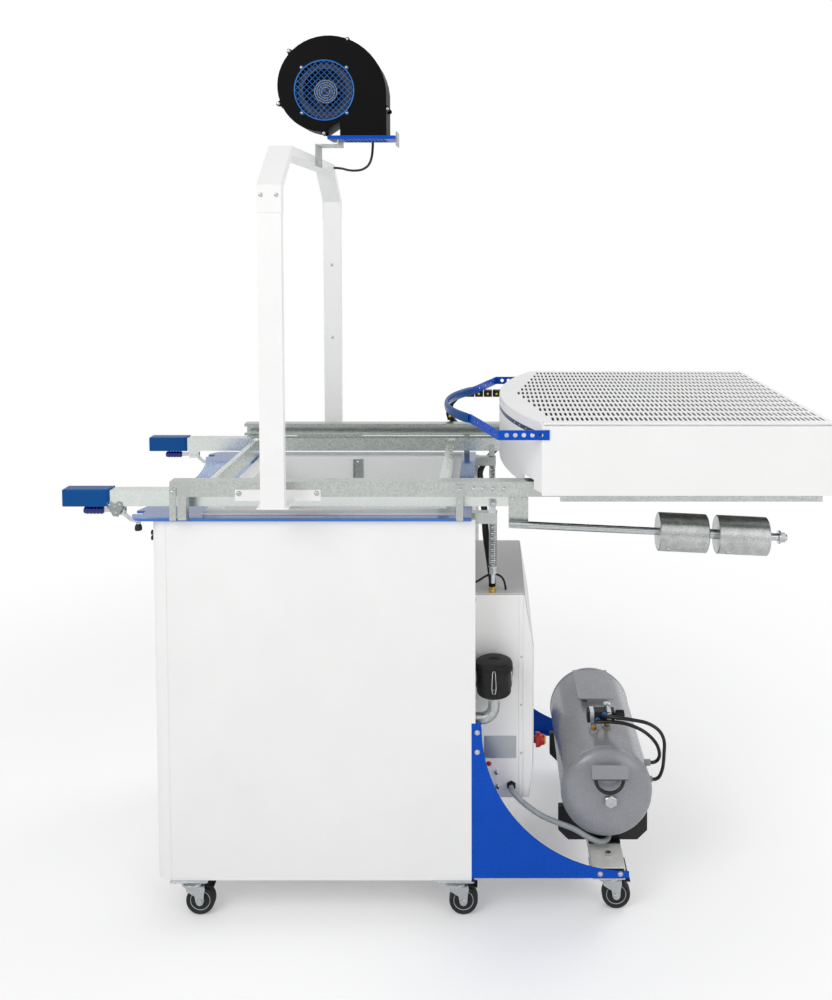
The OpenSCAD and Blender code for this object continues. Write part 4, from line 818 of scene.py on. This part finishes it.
# Moulded yellow nylon: bright and even, with a soft sheen.
stud_yellow = finish("moulded_yellow_nylon", "F7E21E", "E8CB10", (0.35, 0.5), mottle=12, grain=1)
stud_x = -443.6
studs = [((stud_x, p[1], p[2]), to_right) for p, _ in places]
stud_head = head([(1, -0.5), (1, 0.1), (0.7, 0.28), (0.05, 0.3)], 14)
fasten("chain_studs", studs, 4.2, stud_head, "chain", stud_yellow)


# Clamp frame: the arms' grips are dipped in thick blue vinyl with a rolled rim, and the two
# cross angles are welded to galvanised box arms.
arm_x = 348
grip_half = 23
rolled_half = 23.6
sleeves = Piece()
for x in (-arm_x, arm_x):
    sleeves.box((x - grip_half, x + grip_half), (-1038, -913), (1153, 1201), vinyl_blue)
    sleeves.box((x - rolled_half, x + rolled_half), (-914, -907.5), (1152.6, 1201.6), vinyl_blue)
sleeves.done("vinyl_grips", "frame", "blue_grip", replaces="grip_sleeves", bevel=3.2, segments=4)


# Floating hinge: the clevises' studs carry jam nuts and washers, and each spring is wound
# from 3.2 mm zinc-plated wire, 23 turns, between the pivot bar and the lower washer.
spring_x = 345
spring_y = 144
spring_low = 983
spring_high = 1100
turns = 23
per_turn = 16
wire_r = 1.6
coil_r = 9.9
dress(zinc_plate, "float_clevises")
hex_head = head([(1, 0, 1), (1, 0.68, 1), (0.92, 0.8, 1), (0.5, 0.82)], 24)
stud_nuts = [((spring_x, spring_y, z), (0, 0, -1)) for z in (978, 968)]
fasten("hinge_nuts", both(stud_nuts), 11.5, hex_head, "float")
fasten("pivot_pin_heads", both([((373, spring_y, 1163), to_right)]), 8.5, button_head, "float")
coil = Piece()
for side in (-1, 1):
    line = []
    for i in range(turns * per_turn + 1):
        a = 2 * math.pi * i / per_turn
        line.append((side * (spring_x + coil_r * math.cos(a)), spring_y + coil_r * math.sin(a),
            spring_low + (spring_high - spring_low) * i / (turns * per_turn)))
    coil.tube(line, wire_r, zinc_plate, sides=8)
springs = coil.done("hinge_springs", "base", "galvanised", replaces="float_springs")
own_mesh(springs)


# Counterweights: turned steel rounds with zinc plate and a clamp screw in each, slid along a
# bright rod that is nutted at its far end and bolted to the arm through a bent bracket.
# Turned steel under zinc plate: bright metal whose gloss wavers with the tool marks.
turned_steel = finish("zinc_plated_turned_steel", "D6D8D7", "A3A6A5", (0.22, 0.44), metallic=1, mottle=26,
    grain=3.5)
bore = 10.6
round_r = 52
chamfer = 2.5
rod_front = Vector((384, 187, 1109))
rod_back = Vector((384, 947, 1072))
rod_length = (rod_back - rod_front).length
heading = (rod_back - rod_front).normalized()
weights = Piece()
for a, b in ((407, 540), (567, 705)):
    weights.turned([(bore, a), (round_r - chamfer, a), (round_r, a + chamfer), (round_r, b - chamfer),
        (round_r - chamfer, b), (bore, b)], rod_front, heading, turned_steel, 64)
weights.turned([(bore, 540), (13, 540), (13, 567), (bore, 567)], rod_front, heading, zinc_plate)
weights.mirrored()
weights.done("counterweight_rounds", "frame", "weight_steel", replaces="counterweights")
rods = Piece()
rods.turned([(10, 0), (10, rod_length - 20), (8.4, rod_length - 19), (8.4, rod_length)], rod_front, heading,
    zinc_plate)
rods.turned([(9, rod_length - 24), (18, rod_length - 24), (18, rod_length - 19), (9, rod_length - 19)],
    rod_front, heading, zinc_plate)
rods.turned([(13, rod_length - 19, 1), (14, rod_length - 18, 1), (14, rod_length - 6, 1),
    (13, rod_length - 5, 1)], rod_front, heading, zinc_plate, 24)
rods.box((368, 372), (187, 241), (1107, 1198), galvanised)
rods.box((368, 398), (187, 241), (1103, 1107), galvanised)
rods.mirrored()
rods.done("counterweight_rods_and_brackets", "frame", "galvanised", replaces="counterweight_rods",
    bevel=0.6)
bracket_bolts = [((372, y, 1177), to_right) for y in (198, 230)]
fasten("bracket_bolts", both(bracket_bolts), 6, hex_head, "frame")
for name, at in (("near_weight_screws", 431), ("far_weight_screws", 591)):
    spot = rod_front + heading * at
    fasten(name, both([((420, spot.y, spot.z - 37), (0.7, 0, -0.7))]), 4.5, button_head, "frame")


# Toggle clamps: levers and arms stamped from zinc-plated steel and riveted, a ribbed dark blue
# grip on each lever, and a black rubber tip screwed through the arm's end.
# Moulded dark blue vinyl: smooth, with a soft highlight along each rib.
grip_blue = finish("moulded_dark_blue_vinyl", "0B1F8C", "081765", (0.25, 0.38), mottle=30)
# Moulded black rubber: matt, with hardly a highlight.
tip_rubber = finish("moulded_black_rubber", "0C0C0D", "070708", (0.5, 0.65), mottle=15, grain=0.8)
pin_y, pin_z = -896, 1137
pin = [(2.4, -11), (4.2, -11), (4.2, -9.4), (2.5, -9.4), (2.5, 9.4), (4.2, 9.4), (4.2, 11), (2.4, 11)]
blade = [(-902, 1137), (-898, 1129.5), (-890, 1131), (-889, 1142), (-897, 1144), (-912, 1143), (-934, 1143),
    (-934, 1131), (-912, 1132)]
bent_arm = [(-887, 1139), (-881, 1144.5), (-875, 1141), (-868, 1130), (-855, 1119), (-840, 1114.4),
    (-828, 1114.4), (-828, 1105.5), (-843, 1105), (-859, 1109), (-874, 1122), (-884, 1132)]
rib_pitch = 9.6
ribs = [(4, 0), (8.5, 1.2)]
for k in range(5):
    ribs += [(10.6, 5 + rib_pitch * k), (10.9, 8.4 + rib_pitch * k), (9.4, 11.4 + rib_pitch * k)]
ribs += [(9.8, 53), (7.5, 55.6), (3, 56)]
for label, side in (("right", 1), ("left", -1)):
    x = side * arm_x
    lever = Piece()
    for inset in (6.5, 3.6):
        lever.side_plate(blade, 2.2, x - inset, zinc_plate)
    lever.turned(pin, (x, pin_y, pin_z), to_right, zinc_plate, 16)
    lever.turned(ribs, (x - 4, -932, pin_z), to_front, grip_blue, 24)
    lever.done("lever_" + label, "lever_" + label, "blue_grip", replaces="toggle_lever_" + label, bevel=0.4)
    tip_x, tip_y = x + 3.5, -836
    arm = Piece()
    arm.side_plate(bent_arm, 5, x + 1, zinc_plate)
    arm.turned(pin, (x, -880, 1138), to_right, zinc_plate, 16)
    arm.turned([(4, 0), (4, 16), (3.4, 16.5)], (tip_x, tip_y, 1100), upward, zinc_plate, 20)
    arm.turned([(6.6, 0, 1), (6.9, 0.7, 1), (6.9, 4.4, 1), (6.4, 5, 1)], (tip_x, tip_y, 1100.4), upward,
        zinc_plate)
    arm.turned([(8, 0), (9.6, 1.4), (10, 5), (9.6, 11), (7.5, 15.5), (6.5, 18.5), (4, 18.8)],
        (tip_x, tip_y, 1082), upward, tip_rubber, 28)
    arm.done("arm_" + label, "arm_" + label, "galvanised", replaces="toggle_arm_" + label, bevel=0.4)
# Stamped steel under zinc plate: greyer than the screws, with scuffs from the press.
stamped = finish("stamped_zinc_plated_steel", "A9ADB0", "85898C", (0.16, 0.28), metallic=1, mottle=9,
    bump=0.08, depth=0.06)
bases = Piece()
bases.side_plate([(-915, 1165), (-905, 1168), (-895, 1162), (-884, 1168), (-873, 1165), (-871, 1150),
    (-879, 1137), (-884, 1125), (-899, 1127), (-906, 1141), (-916, 1151)], 2, 368.3, stamped)
bases.mirrored()
bases.done("toggle_base_plates", "frame", "galvanised", bevel=0.5)
rivets = [((370.4, y, z), to_right) for y, z in ((-908, 1159), (-893, 1155), (-879, 1160), (-890, 1137))]
fasten("toggle_rivets", both(rivets), 2.8, button_head, "frame")


# Fan: a black scroll blower on its bracket. The casing's rim is pressed over with lugs, the
# inlet carries a blue wire guard on four eyelets, and a hub with turned rings sits behind it.
fan_y, fan_z = -367, 2336
guard_r = 90
wire_pitch = 12.5


def on_fan(x, u, v, a):
    """A point beside the fan's axis: u outward and v across, at the angle a round it."""
    return (x, fan_y + u * math.cos(a) - v * math.sin(a), fan_z + u * math.sin(a) + v * math.cos(a))


quarters = [math.radians(turn) for turn in (45, 135, 225, 315)]
# Black powder coat: matt, over an orange peel that breaks up the reflections.
casing_black = finish("powder_coat_black", "070708", "030304", (0.4, 0.55), grain=1.4, bump=0.15,
    specular=0.1)
# Cast aluminium on the hub's rings: pale grey, with the sandy grain of the mould, and set bright against the
# dark hub as a painted highlight on each ring.
ring_aluminium_painted_highlight = finish("ring_aluminium_painted_highlight", "B9BCBD", "A0A4A6", (0.35, 0.5), metallic=1, mottle=30, bump=0.15)
dress(casing_black, "fan_casing")
# Dull steel sheet, drawn dark grey as painted shade for the wheel in the shade of the casing.
wheel_steel_painted_shade = finish("dull_steel_with_painted_shade", "4A4E54", "33363B", (0.4, 0.55), metallic=1, mottle=40)
dress(wheel_steel_painted_shade, "fan_impeller")
# The hub's disc is dark and its raised rings bright: painted shade in the grooves and a painted highlight on
# the ridges.
hub = Piece()
hub.turned([(37, 0), (36, 3), (12, 3), (9, 5), (4, 5.6)], (-12, fan_y, fan_z), to_right, wheel_steel_painted_shade, 48)
for r in (34, 27, 20, 13):
    hub.turned([(r - 1.4, 2), (r - 0.8, 4.4), (r + 0.8, 4.4), (r + 1.4, 2)], (-12, fan_y, fan_z), to_right,
        ring_aluminium_painted_highlight, 48)
hub.done("fan_hub", "impeller", "aluminium")
# Wire dipped in plastic: mid blue, with a soft highlight along each wire.
guard_blue = finish("plastic_dipped_blue_wire", "1C72C8", "1763B2", (0.25, 0.36), mottle=30, grain=1.2)
guard = Piece()
guard.tube([on_fan(21.6, guard_r, 0, 2 * math.pi * k / 64) for k in range(65)], 1.9, guard_blue, sides=8)
for a, x in zip(quarters, (20.8, 22.4)):
    for i in range(-6, 7):
        off = i * wire_pitch
        half = math.sqrt((guard_r - 1) ** 2 - off ** 2)
        guard.tube([on_fan(x, u, off, a) for u in (-half, 0, half)], 0.8, guard_blue, sides=6)
eyelet = ((88, -5), (96, -5), (100, -3.4), (101.5, 0), (100, 3.4), (96, 5), (88, 5))
for a in quarters:
    guard.tube(threaded([on_fan(20.9, u, v, a) for u, v in eyelet], 3), 0.85, guard_blue, sides=6)
for x, y in (((-100, 20), (-359, -316)), ((-100, 20), (-183, -153)), ((-100, -94), (-316, -183)),
        ((14, 20), (-316, -183))):
    guard.box(x, y, (2189, 2200), enamel_blue)
guard.done("fan_guard", "base", "dark_blue", replaces="fan_guards")
lug_places = ((-473, 2454), (-296, 2489), (-506, 2295), (-175, 2280), (-369, 2206))
lug_outline = ((-24, -26), (-8, -10), (4, -6), (8, 0), (4, 6), (-8, 10), (-24, 26))
lugs = Piece()
for y, z in lug_places:
    away = Vector((y - fan_y, z - fan_z)).normalized()
    beside = Vector((-away.y, away.x))
    lugs.side_plate([Vector((y, z)) + away * a + beside * b for a, b in lug_outline], 9, 10, casing_black)
lugs.done("fan_lugs", "base", "black_paint", bevel=1)
eye_screws = [(on_fan(21, 96.5, 0, a), to_right) for a in quarters]
lug_screws = [((19.4, y, z), to_right) for y, z in lug_places]
fasten("guard_screws", eye_screws, 2.6, button_head)
fasten("lug_screws", lug_screws, 3.6, button_head)
mesh_wires = Piece()
for y in (-314 + 11.5 * k for k in range(12)):
    mesh_wires.tube([(-94, y, 2191), (14, y, 2191)], 1.1, guard_blue, sides=6)
for x in (-90 + 11.4 * k for k in range(10)):
    mesh_wires.tube([(x, -316, 2193), (x, -183, 2193)], 1.1, guard_blue, sides=6)
mesh_wires.done("fan_outlet_mesh", "base", "dark_blue")


# Control box: folded white sheet with a door flange along its edge and a plain black overlay
# on the slanted face; its glands are brass and black nylon.
# Machined brass: yellow metal with crisp highlights on its flats.
brass = finish("machined_brass", "C9A45A", "A9843F", (0.22, 0.36), metallic=1, mottle=14, bump=0.08,
    depth=0.05)
# Moulded red plastic: glossy and even.
red_plastic = finish("moulded_red_plastic", "C8231F", "A81814", (0.22, 0.34), mottle=25)
# Dark polyester film: nearly black, with an even satin gloss.
overlay_film = finish("dark_polyester_overlay", "15171B", "0F1114", (0.3, 0.42), mottle=120, grain=1)
# Anodised plate, left blank: grey metal, brushed from front to back.
blank_plate = finish("blank_anodised_plate", "B8BEC2", "A9AFB4", (0.3, 0.42), metallic=0.8, mottle=30,
    grain=2, stretch=(1, 1, 12))
profile = [(85, 880), (233, 880), (258, 734), (258, 383), (246, 290), (85, 290)]
wall_t = 2.5
inner_left, inner_right = -197.5, 292.5
case = Piece()
for x in (inner_left - wall_t, inner_right):
    case.side_plate(profile, wall_t, x, powder_white)
for (ya, za), (yb, zb) in zip(profile, profile[1:]):
    ahead = Vector((0, yb - ya, zb - za))
    wide, high = inner_right - inner_left, ahead.length
    case.slab([(0, 0), (wide, 0), (wide, high), (0, high)], wall_t, (inner_left, ya, za), to_right,
        tuple(ahead.normalized()), powder_white)
case.box((inner_left, inner_right), (85, 85 + wall_t), (290, 880), powder_white)
for y in (218, 230):
    case.box((294, 296.4), (y, y + wall_t), (296, 872), powder_white)
case.done("control_box_case", "base", "white_paint", replaces="control_box", bevel=1.2)
trim = Piece()
for x in (250, 280):
    trim.turned([(11, 0, 1), (11, 8, 1), (9.4, 9), (9.4, 12), (10.4, 13, 1), (10.4, 19, 1), (8, 20)],
        (x, 142, 880), upward, brass, 24)
trim.turned([(14, 0, 1), (14, 4, 1), (11, 4.4), (11, 6), (12.4, 6.4), (11.4, 9.4), (8.4, 10)],
    (295, 197, 325), to_right, nylon_black, 24)
trim.turned([(30, 0), (30, 1.6), (28.5, 2.8), (10.2, 3)], (220, 260, 420), to_back, nylon_black, 48)
trim.box((295, 296), (119, 211), (405, 470), blank_plate)
trim.turned([(7, 0), (7, 2), (5, 2.4), (5, 4.4), (4, 5)], (295, 133, 389), to_right, red_plastic, 20)
for y, z in ((155, 364), (158, 322)):
    trim.turned([(7, 0, 1), (7, 3, 1), (5, 3.4), (5, 7), (4.2, 7.6)], (295, y, z), to_right, zinc_plate, 24)
trim.done("control_box_fittings", "base", "black_plastic", bevel=0.3)
flange_screws = [((295, 225.2, z), to_right) for z in (420, 560, 700)]
fasten("flange_screws", flange_screws, 2.8, button_head)
overlay = Piece()
overlay.box((-150, 290), (258, 260), (395, 724), overlay_film)
overlay.box((-150, 290), (259.9, 260.2), (560, 562), nylon_black)
overlay.done("control_overlay", "base", "black_plastic", replaces="control_panel", bevel=0.6)
stop = Piece()
stop.turned([(10, 0), (10, 40), (14, 43)], (220, 232, 420), to_back, red_plastic)
stop.turned([(12, -5), (21, -5), (21.5, -3), (21, 6), (16.5, 11), (15, 14), (15, 19), (14, 20.5)],
    (220, 275, 420), to_back, red_plastic, 48)
stop.turned([(10.5, 20), (11.5, 21), (11, 24), (9, 25)], (220, 275, 420), to_back, stud_yellow)
stop.done("emergency_stop_mushroom", "stop_button", "red_plastic", replaces="emergency_stop")


# Air filter: a black moulded can with a ribbed lid held by four sprung wire clips, on a bent
# galvanised pipe that comes out of the cabinet's back.
can_x, can_y = 350, 147
can = Piece()
can.turned([(20, 622), (44, 622), (47, 625), (48, 630), (48, 686), (46, 689.8)], (can_x, can_y, 0), upward,
    nylon_black, 64)
can.turned([(46, 690), (52, 690), (52, 693), (50.6, 694), (50.6, 709), (49.5, 712.5), (45, 715), (16, 715),
    (14, 713)], (can_x, can_y, 0), upward, nylon_black, 64)
for k in range(36):
    a = 2 * math.pi * k / 36
    can.box((400, 401.7), (145.8, 148.2), (694, 709), nylon_black, Matrix.Rotation(a, 3, "Z"),
        (can_x, can_y, 701.5))
can.done("filter_can_and_lid", "base", "black_plastic", replaces="filter_can", bevel=0.5)
back_y, pipe_z = 58, 549
elbow_r = 36
pipe = Piece()
route = [(can_x, back_y, pipe_z), (can_x, 100, pipe_z)]
for k in range(9):
    a = math.pi / 2 * k / 8
    route.append((can_x, can_y - elbow_r + elbow_r * math.sin(a), pipe_z + elbow_r - elbow_r * math.cos(a)))
pipe.tube(route + [(can_x, can_y, 600), (can_x, can_y, 622)], 16.5, galvanised, sides=32)
pipe.turned([(17, 0, 1), (21, 0.6, 1), (21, 12, 1), (17, 12.6, 1)], (can_x, can_y, 604), upward, zinc_plate,
    24)
pipe.turned([(17, 0), (25, 0), (25, 3), (17, 3)], (can_x, back_y, pipe_z), to_back, zinc_plate)
for turn in (0, 90, 180, 270):
    spin = Matrix.Rotation(math.radians(turn), 3, "Z")
    for v in (-5.5, 5.5):
        clip = [(48.9, v * 0.5, 640), (50.5, v, 652), (50.8, v, 668), (53.4, v * 0.8, 686),
            (53.6, v * 0.7, 700), (52.5, v * 0.3, 706)]
        pipe.tube([spin @ Vector(p) + Vector((can_x, can_y, 0)) for p in threaded(clip, 3)], 1.3, zinc_plate,
            sides=6)
    bridge = ((49, -4, 652), (49.4, 0, 651), (49, 4, 652))
    pipe.tube([spin @ Vector(p) + Vector((can_x, can_y, 0)) for p in bridge], 1.1, zinc_plate, sides=6)
pipe.done("filter_pipe_and_clips", "base", "galvanised", replaces="filter_pipe", bevel=0)
ports = Piece()
for z, cap in ((703, red_plastic), (623, nylon_black), (598, nylon_black)):
    ports.turned([(7.5, 0, 1), (7.5, 7, 1), (5.6, 7.6), (5.6, 16), (6.4, 17), (6.4, 22), (5, 23)],
        (388, 57, z), to_back, cap, 24)
ports.done("cabinet_ports", "base", "black_plastic")


# Vacuum tank: rolled and welded steel with dished ends, in grey gloss enamel, with a shelf, a
# bent lug and bosses welded on. A bead of weld runs round each end.
# Grey gloss enamel: clear highlights over a slight orange peel.
tank_enamel = finish("grey_gloss_enamel", "9A9CA2", "87898F", (0.2, 0.32), mottle=120, grain=2.2, bump=0.08,
    depth=0.12, coat=(0.3, 0.15))
tank_r = 129
tank_length = 590
dome_depth = 40
dome_power = 0.75
pole_r = 0.4
dome = []
for k in range(13):
    a = math.pi / 2 * k / 12
    dome.append((max(tank_r * math.sin(a) ** dome_power, pole_r), dome_depth - dome_depth * math.cos(a)))
near_end = dome + [(tank_r, 43), (130.3, 44.4), (130.3, 47), (tank_r, 48.4)]
shell = near_end + [(r, tank_length - h) for r, h in near_end[::-1]]
vessel = Piece()
vessel.turned(shell, (-240, 468, 317), to_right, tank_enamel, 96)
for x, y in ((194, 481), (215, 440)):
    vessel.turned([(15, 417), (15, 448), (14, 450)], (x, y, 0), upward, tank_enamel)
vessel.turned([(22, 338), (22, 351), (21, 352)], (0, 474, 314), to_right, tank_enamel)
for x, z, top in ((262, 324, 605.4), (240, 362, 603.4)):
    vessel.turned([(9, 568, 1), (9, top, 1), (7, top + 0.6, 1)], (x, 0, z), to_back, tank_enamel, 24)
vessel.done("vacuum_tank_shell", "base", "tank_grey", replaces="tank", bevel=0)
lugs = Piece()
lugs.box((-157, 45), (409, 521), (455, 459), tank_enamel)
for x in (-151, 33):
    lugs.box((x, x + 6), (438, 498), (440, 455), tank_enamel)
lugs.box((310, 374), (419, 521), (383, 387), tank_enamel)
lugs.box((370, 374), (419, 521), (383, 426), tank_enamel)
lugs.done("tank_shelf_and_lug", "base", "tank_grey", bevel=1)
# Black paint on the foot: satin, with some dust.
foot_black = finish("satin_black_paint", "131314", "0C0C0D", (0.38, 0.52), mottle=45, grain=1.6, bump=0.12)
dress(foot_black, "tank_saddle")


# Tank fittings: a hexagon drain plug, a brass ball valve with a gauge-like cap, a blue push-fit
# collar, and a pressure regulator whose black knob is fluted.
parts = Piece()
parts.turned([(17, 352, 1), (19, 353, 1), (19, 362, 1), (17, 364, 1)], (0, 474, 314), to_right, zinc_plate,
    24)
parts.turned([(9, 450, 1), (9, 458, 1), (7, 459), (7, 468), (10.5, 469, 1), (10.5, 478, 1), (8, 479),
    (8, 484)], (194, 481, 0), upward, brass, 24)
parts.turned([(8, 484), (13, 485), (13, 499), (12.4, 500.5), (11, 501), (10.4, 516), (8, 518)], (194, 481, 0),
    upward, zinc_plate)
parts.turned([(10, 450, 1), (10, 460, 1), (8, 461), (8, 466)], (215, 440, 0), upward, brass, 24)
parts.turned([(8, 466), (9.6, 467), (9.6, 474), (6, 476)], (215, 440, 0), upward, guard_blue)
parts.box((200, 232), (420, 500), (476, 508), nylon_black)
for y in (428, 478):
    parts.box((198.8, 233.2), (y, y + 12), (474.8, 509.2), zinc_plate)
for y, z in ((450, 484), (470, 500)):
    parts.turned([(8, 0), (8, 2), (6.6, 3), (6.6, 5), (5.2, 5.6)], (231, y, z), to_right, guard_blue, 24)
parts.done("tank_valves_and_regulator", "base", "brass", replaces="tank_fittings", bevel=0.7)
fluted = Piece()
fluted.turned([(5, 488), (5, 504.5)], (216, 0, 492), to_back, nylon_black, 20)
fluted.turned([(10, 504), (13, 504.6), (13.4, 507), (13.4, 526), (12.4, 529), (9, 530)], (216, 0, 492),
    to_back, nylon_black, 48)
for k in range(12):
    a = 2 * math.pi * k / 12
    fluted.box((228.4, 230), (506, 528), (490.6, 493.4), nylon_black, Matrix.Rotation(a, 3, "Y"),
        (216, 517, 492))
fluted.done("regulator_fluted_knob", "knob", "black_plastic", replaces="regulator_knob", bevel=0.3)


# Castors: a zinc-plated crown on balls and a fork pressed from one strip, with a black brake
# pedal, and a wheel with a grey-blue hub and a black rubber tyre.
# Black tyre rubber: matt, with the faint texture of its mould.
tyre_rubber = finish("black_tyre_rubber", "121213", "0B0B0C", (0.5, 0.68), mottle=30, grain=1, bump=0.2,
    depth=0.12)
# Grey-blue polypropylene: half matt and a little waxy.
hub_plastic = finish("grey_blue_polypropylene", "B9C5D2", "A3B0BE", (0.28, 0.4), mottle=30)
trail = 22
axle_z = 40
fork_side = [(-18, 84), (36, 84), (37, 74), (34, 56), (33, 38), (29, 30.5), (22, 28), (15, 30.5), (11, 38),
    (8, 56), (-14, 70)]
pedal_tilt = Matrix.Rotation(-0.12, 3, "X")
for number, (x, y) in enumerate(castors, 1):
    axle = (x, y + trail, axle_z)
    fork = Piece()
    fork.turned([(12, 85), (30, 85), (32, 87), (32, 93), (28, 97), (24, 99.5), (20, 100), (20, 109.5),
        (8, 109.5)], (x, y, 0), upward, zinc_plate, 40)
    for offset in (-19, 16):
        fork.slab(fork_side, 3, (x + offset, y, 0), to_back, upward, zinc_plate)
    fork.box((x - 19, x + 19), (y - 18, y + 36), (82, 85), zinc_plate)
    fork.turned([(8, -22, 1), (8, -19, 1), (5, -18.9), (5, 18.9), (8, 19, 1), (8, 22, 1)], axle, to_right,
        zinc_plate, 24)
    fork.box((x - 14, x + 14), (y + 34, y + 61), (79.5, 84), nylon_black, pedal_tilt)
    fork.box((x - 9, x + 9), (y + 50, y + 60), (78, 85.5), nylon_black, pedal_tilt)
    fork.done("castor_fork_frame_%d" % number, "swivel_%d" % number, "castor_steel",
        replaces="castor_fork_%d" % number, bevel=0.7)
    wheel = Piece()
    wheel.turned([(28, -11), (35, -15), (38.5, -13.5), (40, -9), (40, -1), (39.4, 0), (40, 1), (40, 9),
        (38.5, 13.5), (35, 15), (28, 11)], axle, to_right, tyre_rubber, 64)
    wheel.turned([(5.06, -14), (10, -14), (11, -11), (25, -10), (27.5, -12), (28.4, -11), (28.4, 11),
        (27.5, 12), (25, 10), (11, 11), (10, 14), (5.06, 14)], axle, to_right, hub_plastic, 48)
    wheel.done("castor_wheel_round_%d" % number, "wheel_%d" % number, "castor_tyre",
        replaces="castor_wheel_%d" % number)
# The rear castors' bolts come up through the tank's channel, each under a nut.
fasten("channel_nuts", both([((340, 470, 149), upward)]), 9.5, hex_head)


# Forming table and its cylinder: a platen milled from aluminium plate, lifted through the well
# by a bright piston rod.
# Milled aluminium: pale, with the cutter's marks drawn across the machine.
milled = finish("milled_aluminium", "C4C7C9", "AEB2B5", (0.3, 0.44), metallic=1, mottle=90, grain=2,
    stretch=(1, 14, 1), bump=0.08, depth=0.06)
dress(milled, "forming_table", "table_ram")


# The forms that were only there to be copied go.
for form in (button_head, chain_link, stud_head, hex_head):
    bpy.data.objects.remove(form)
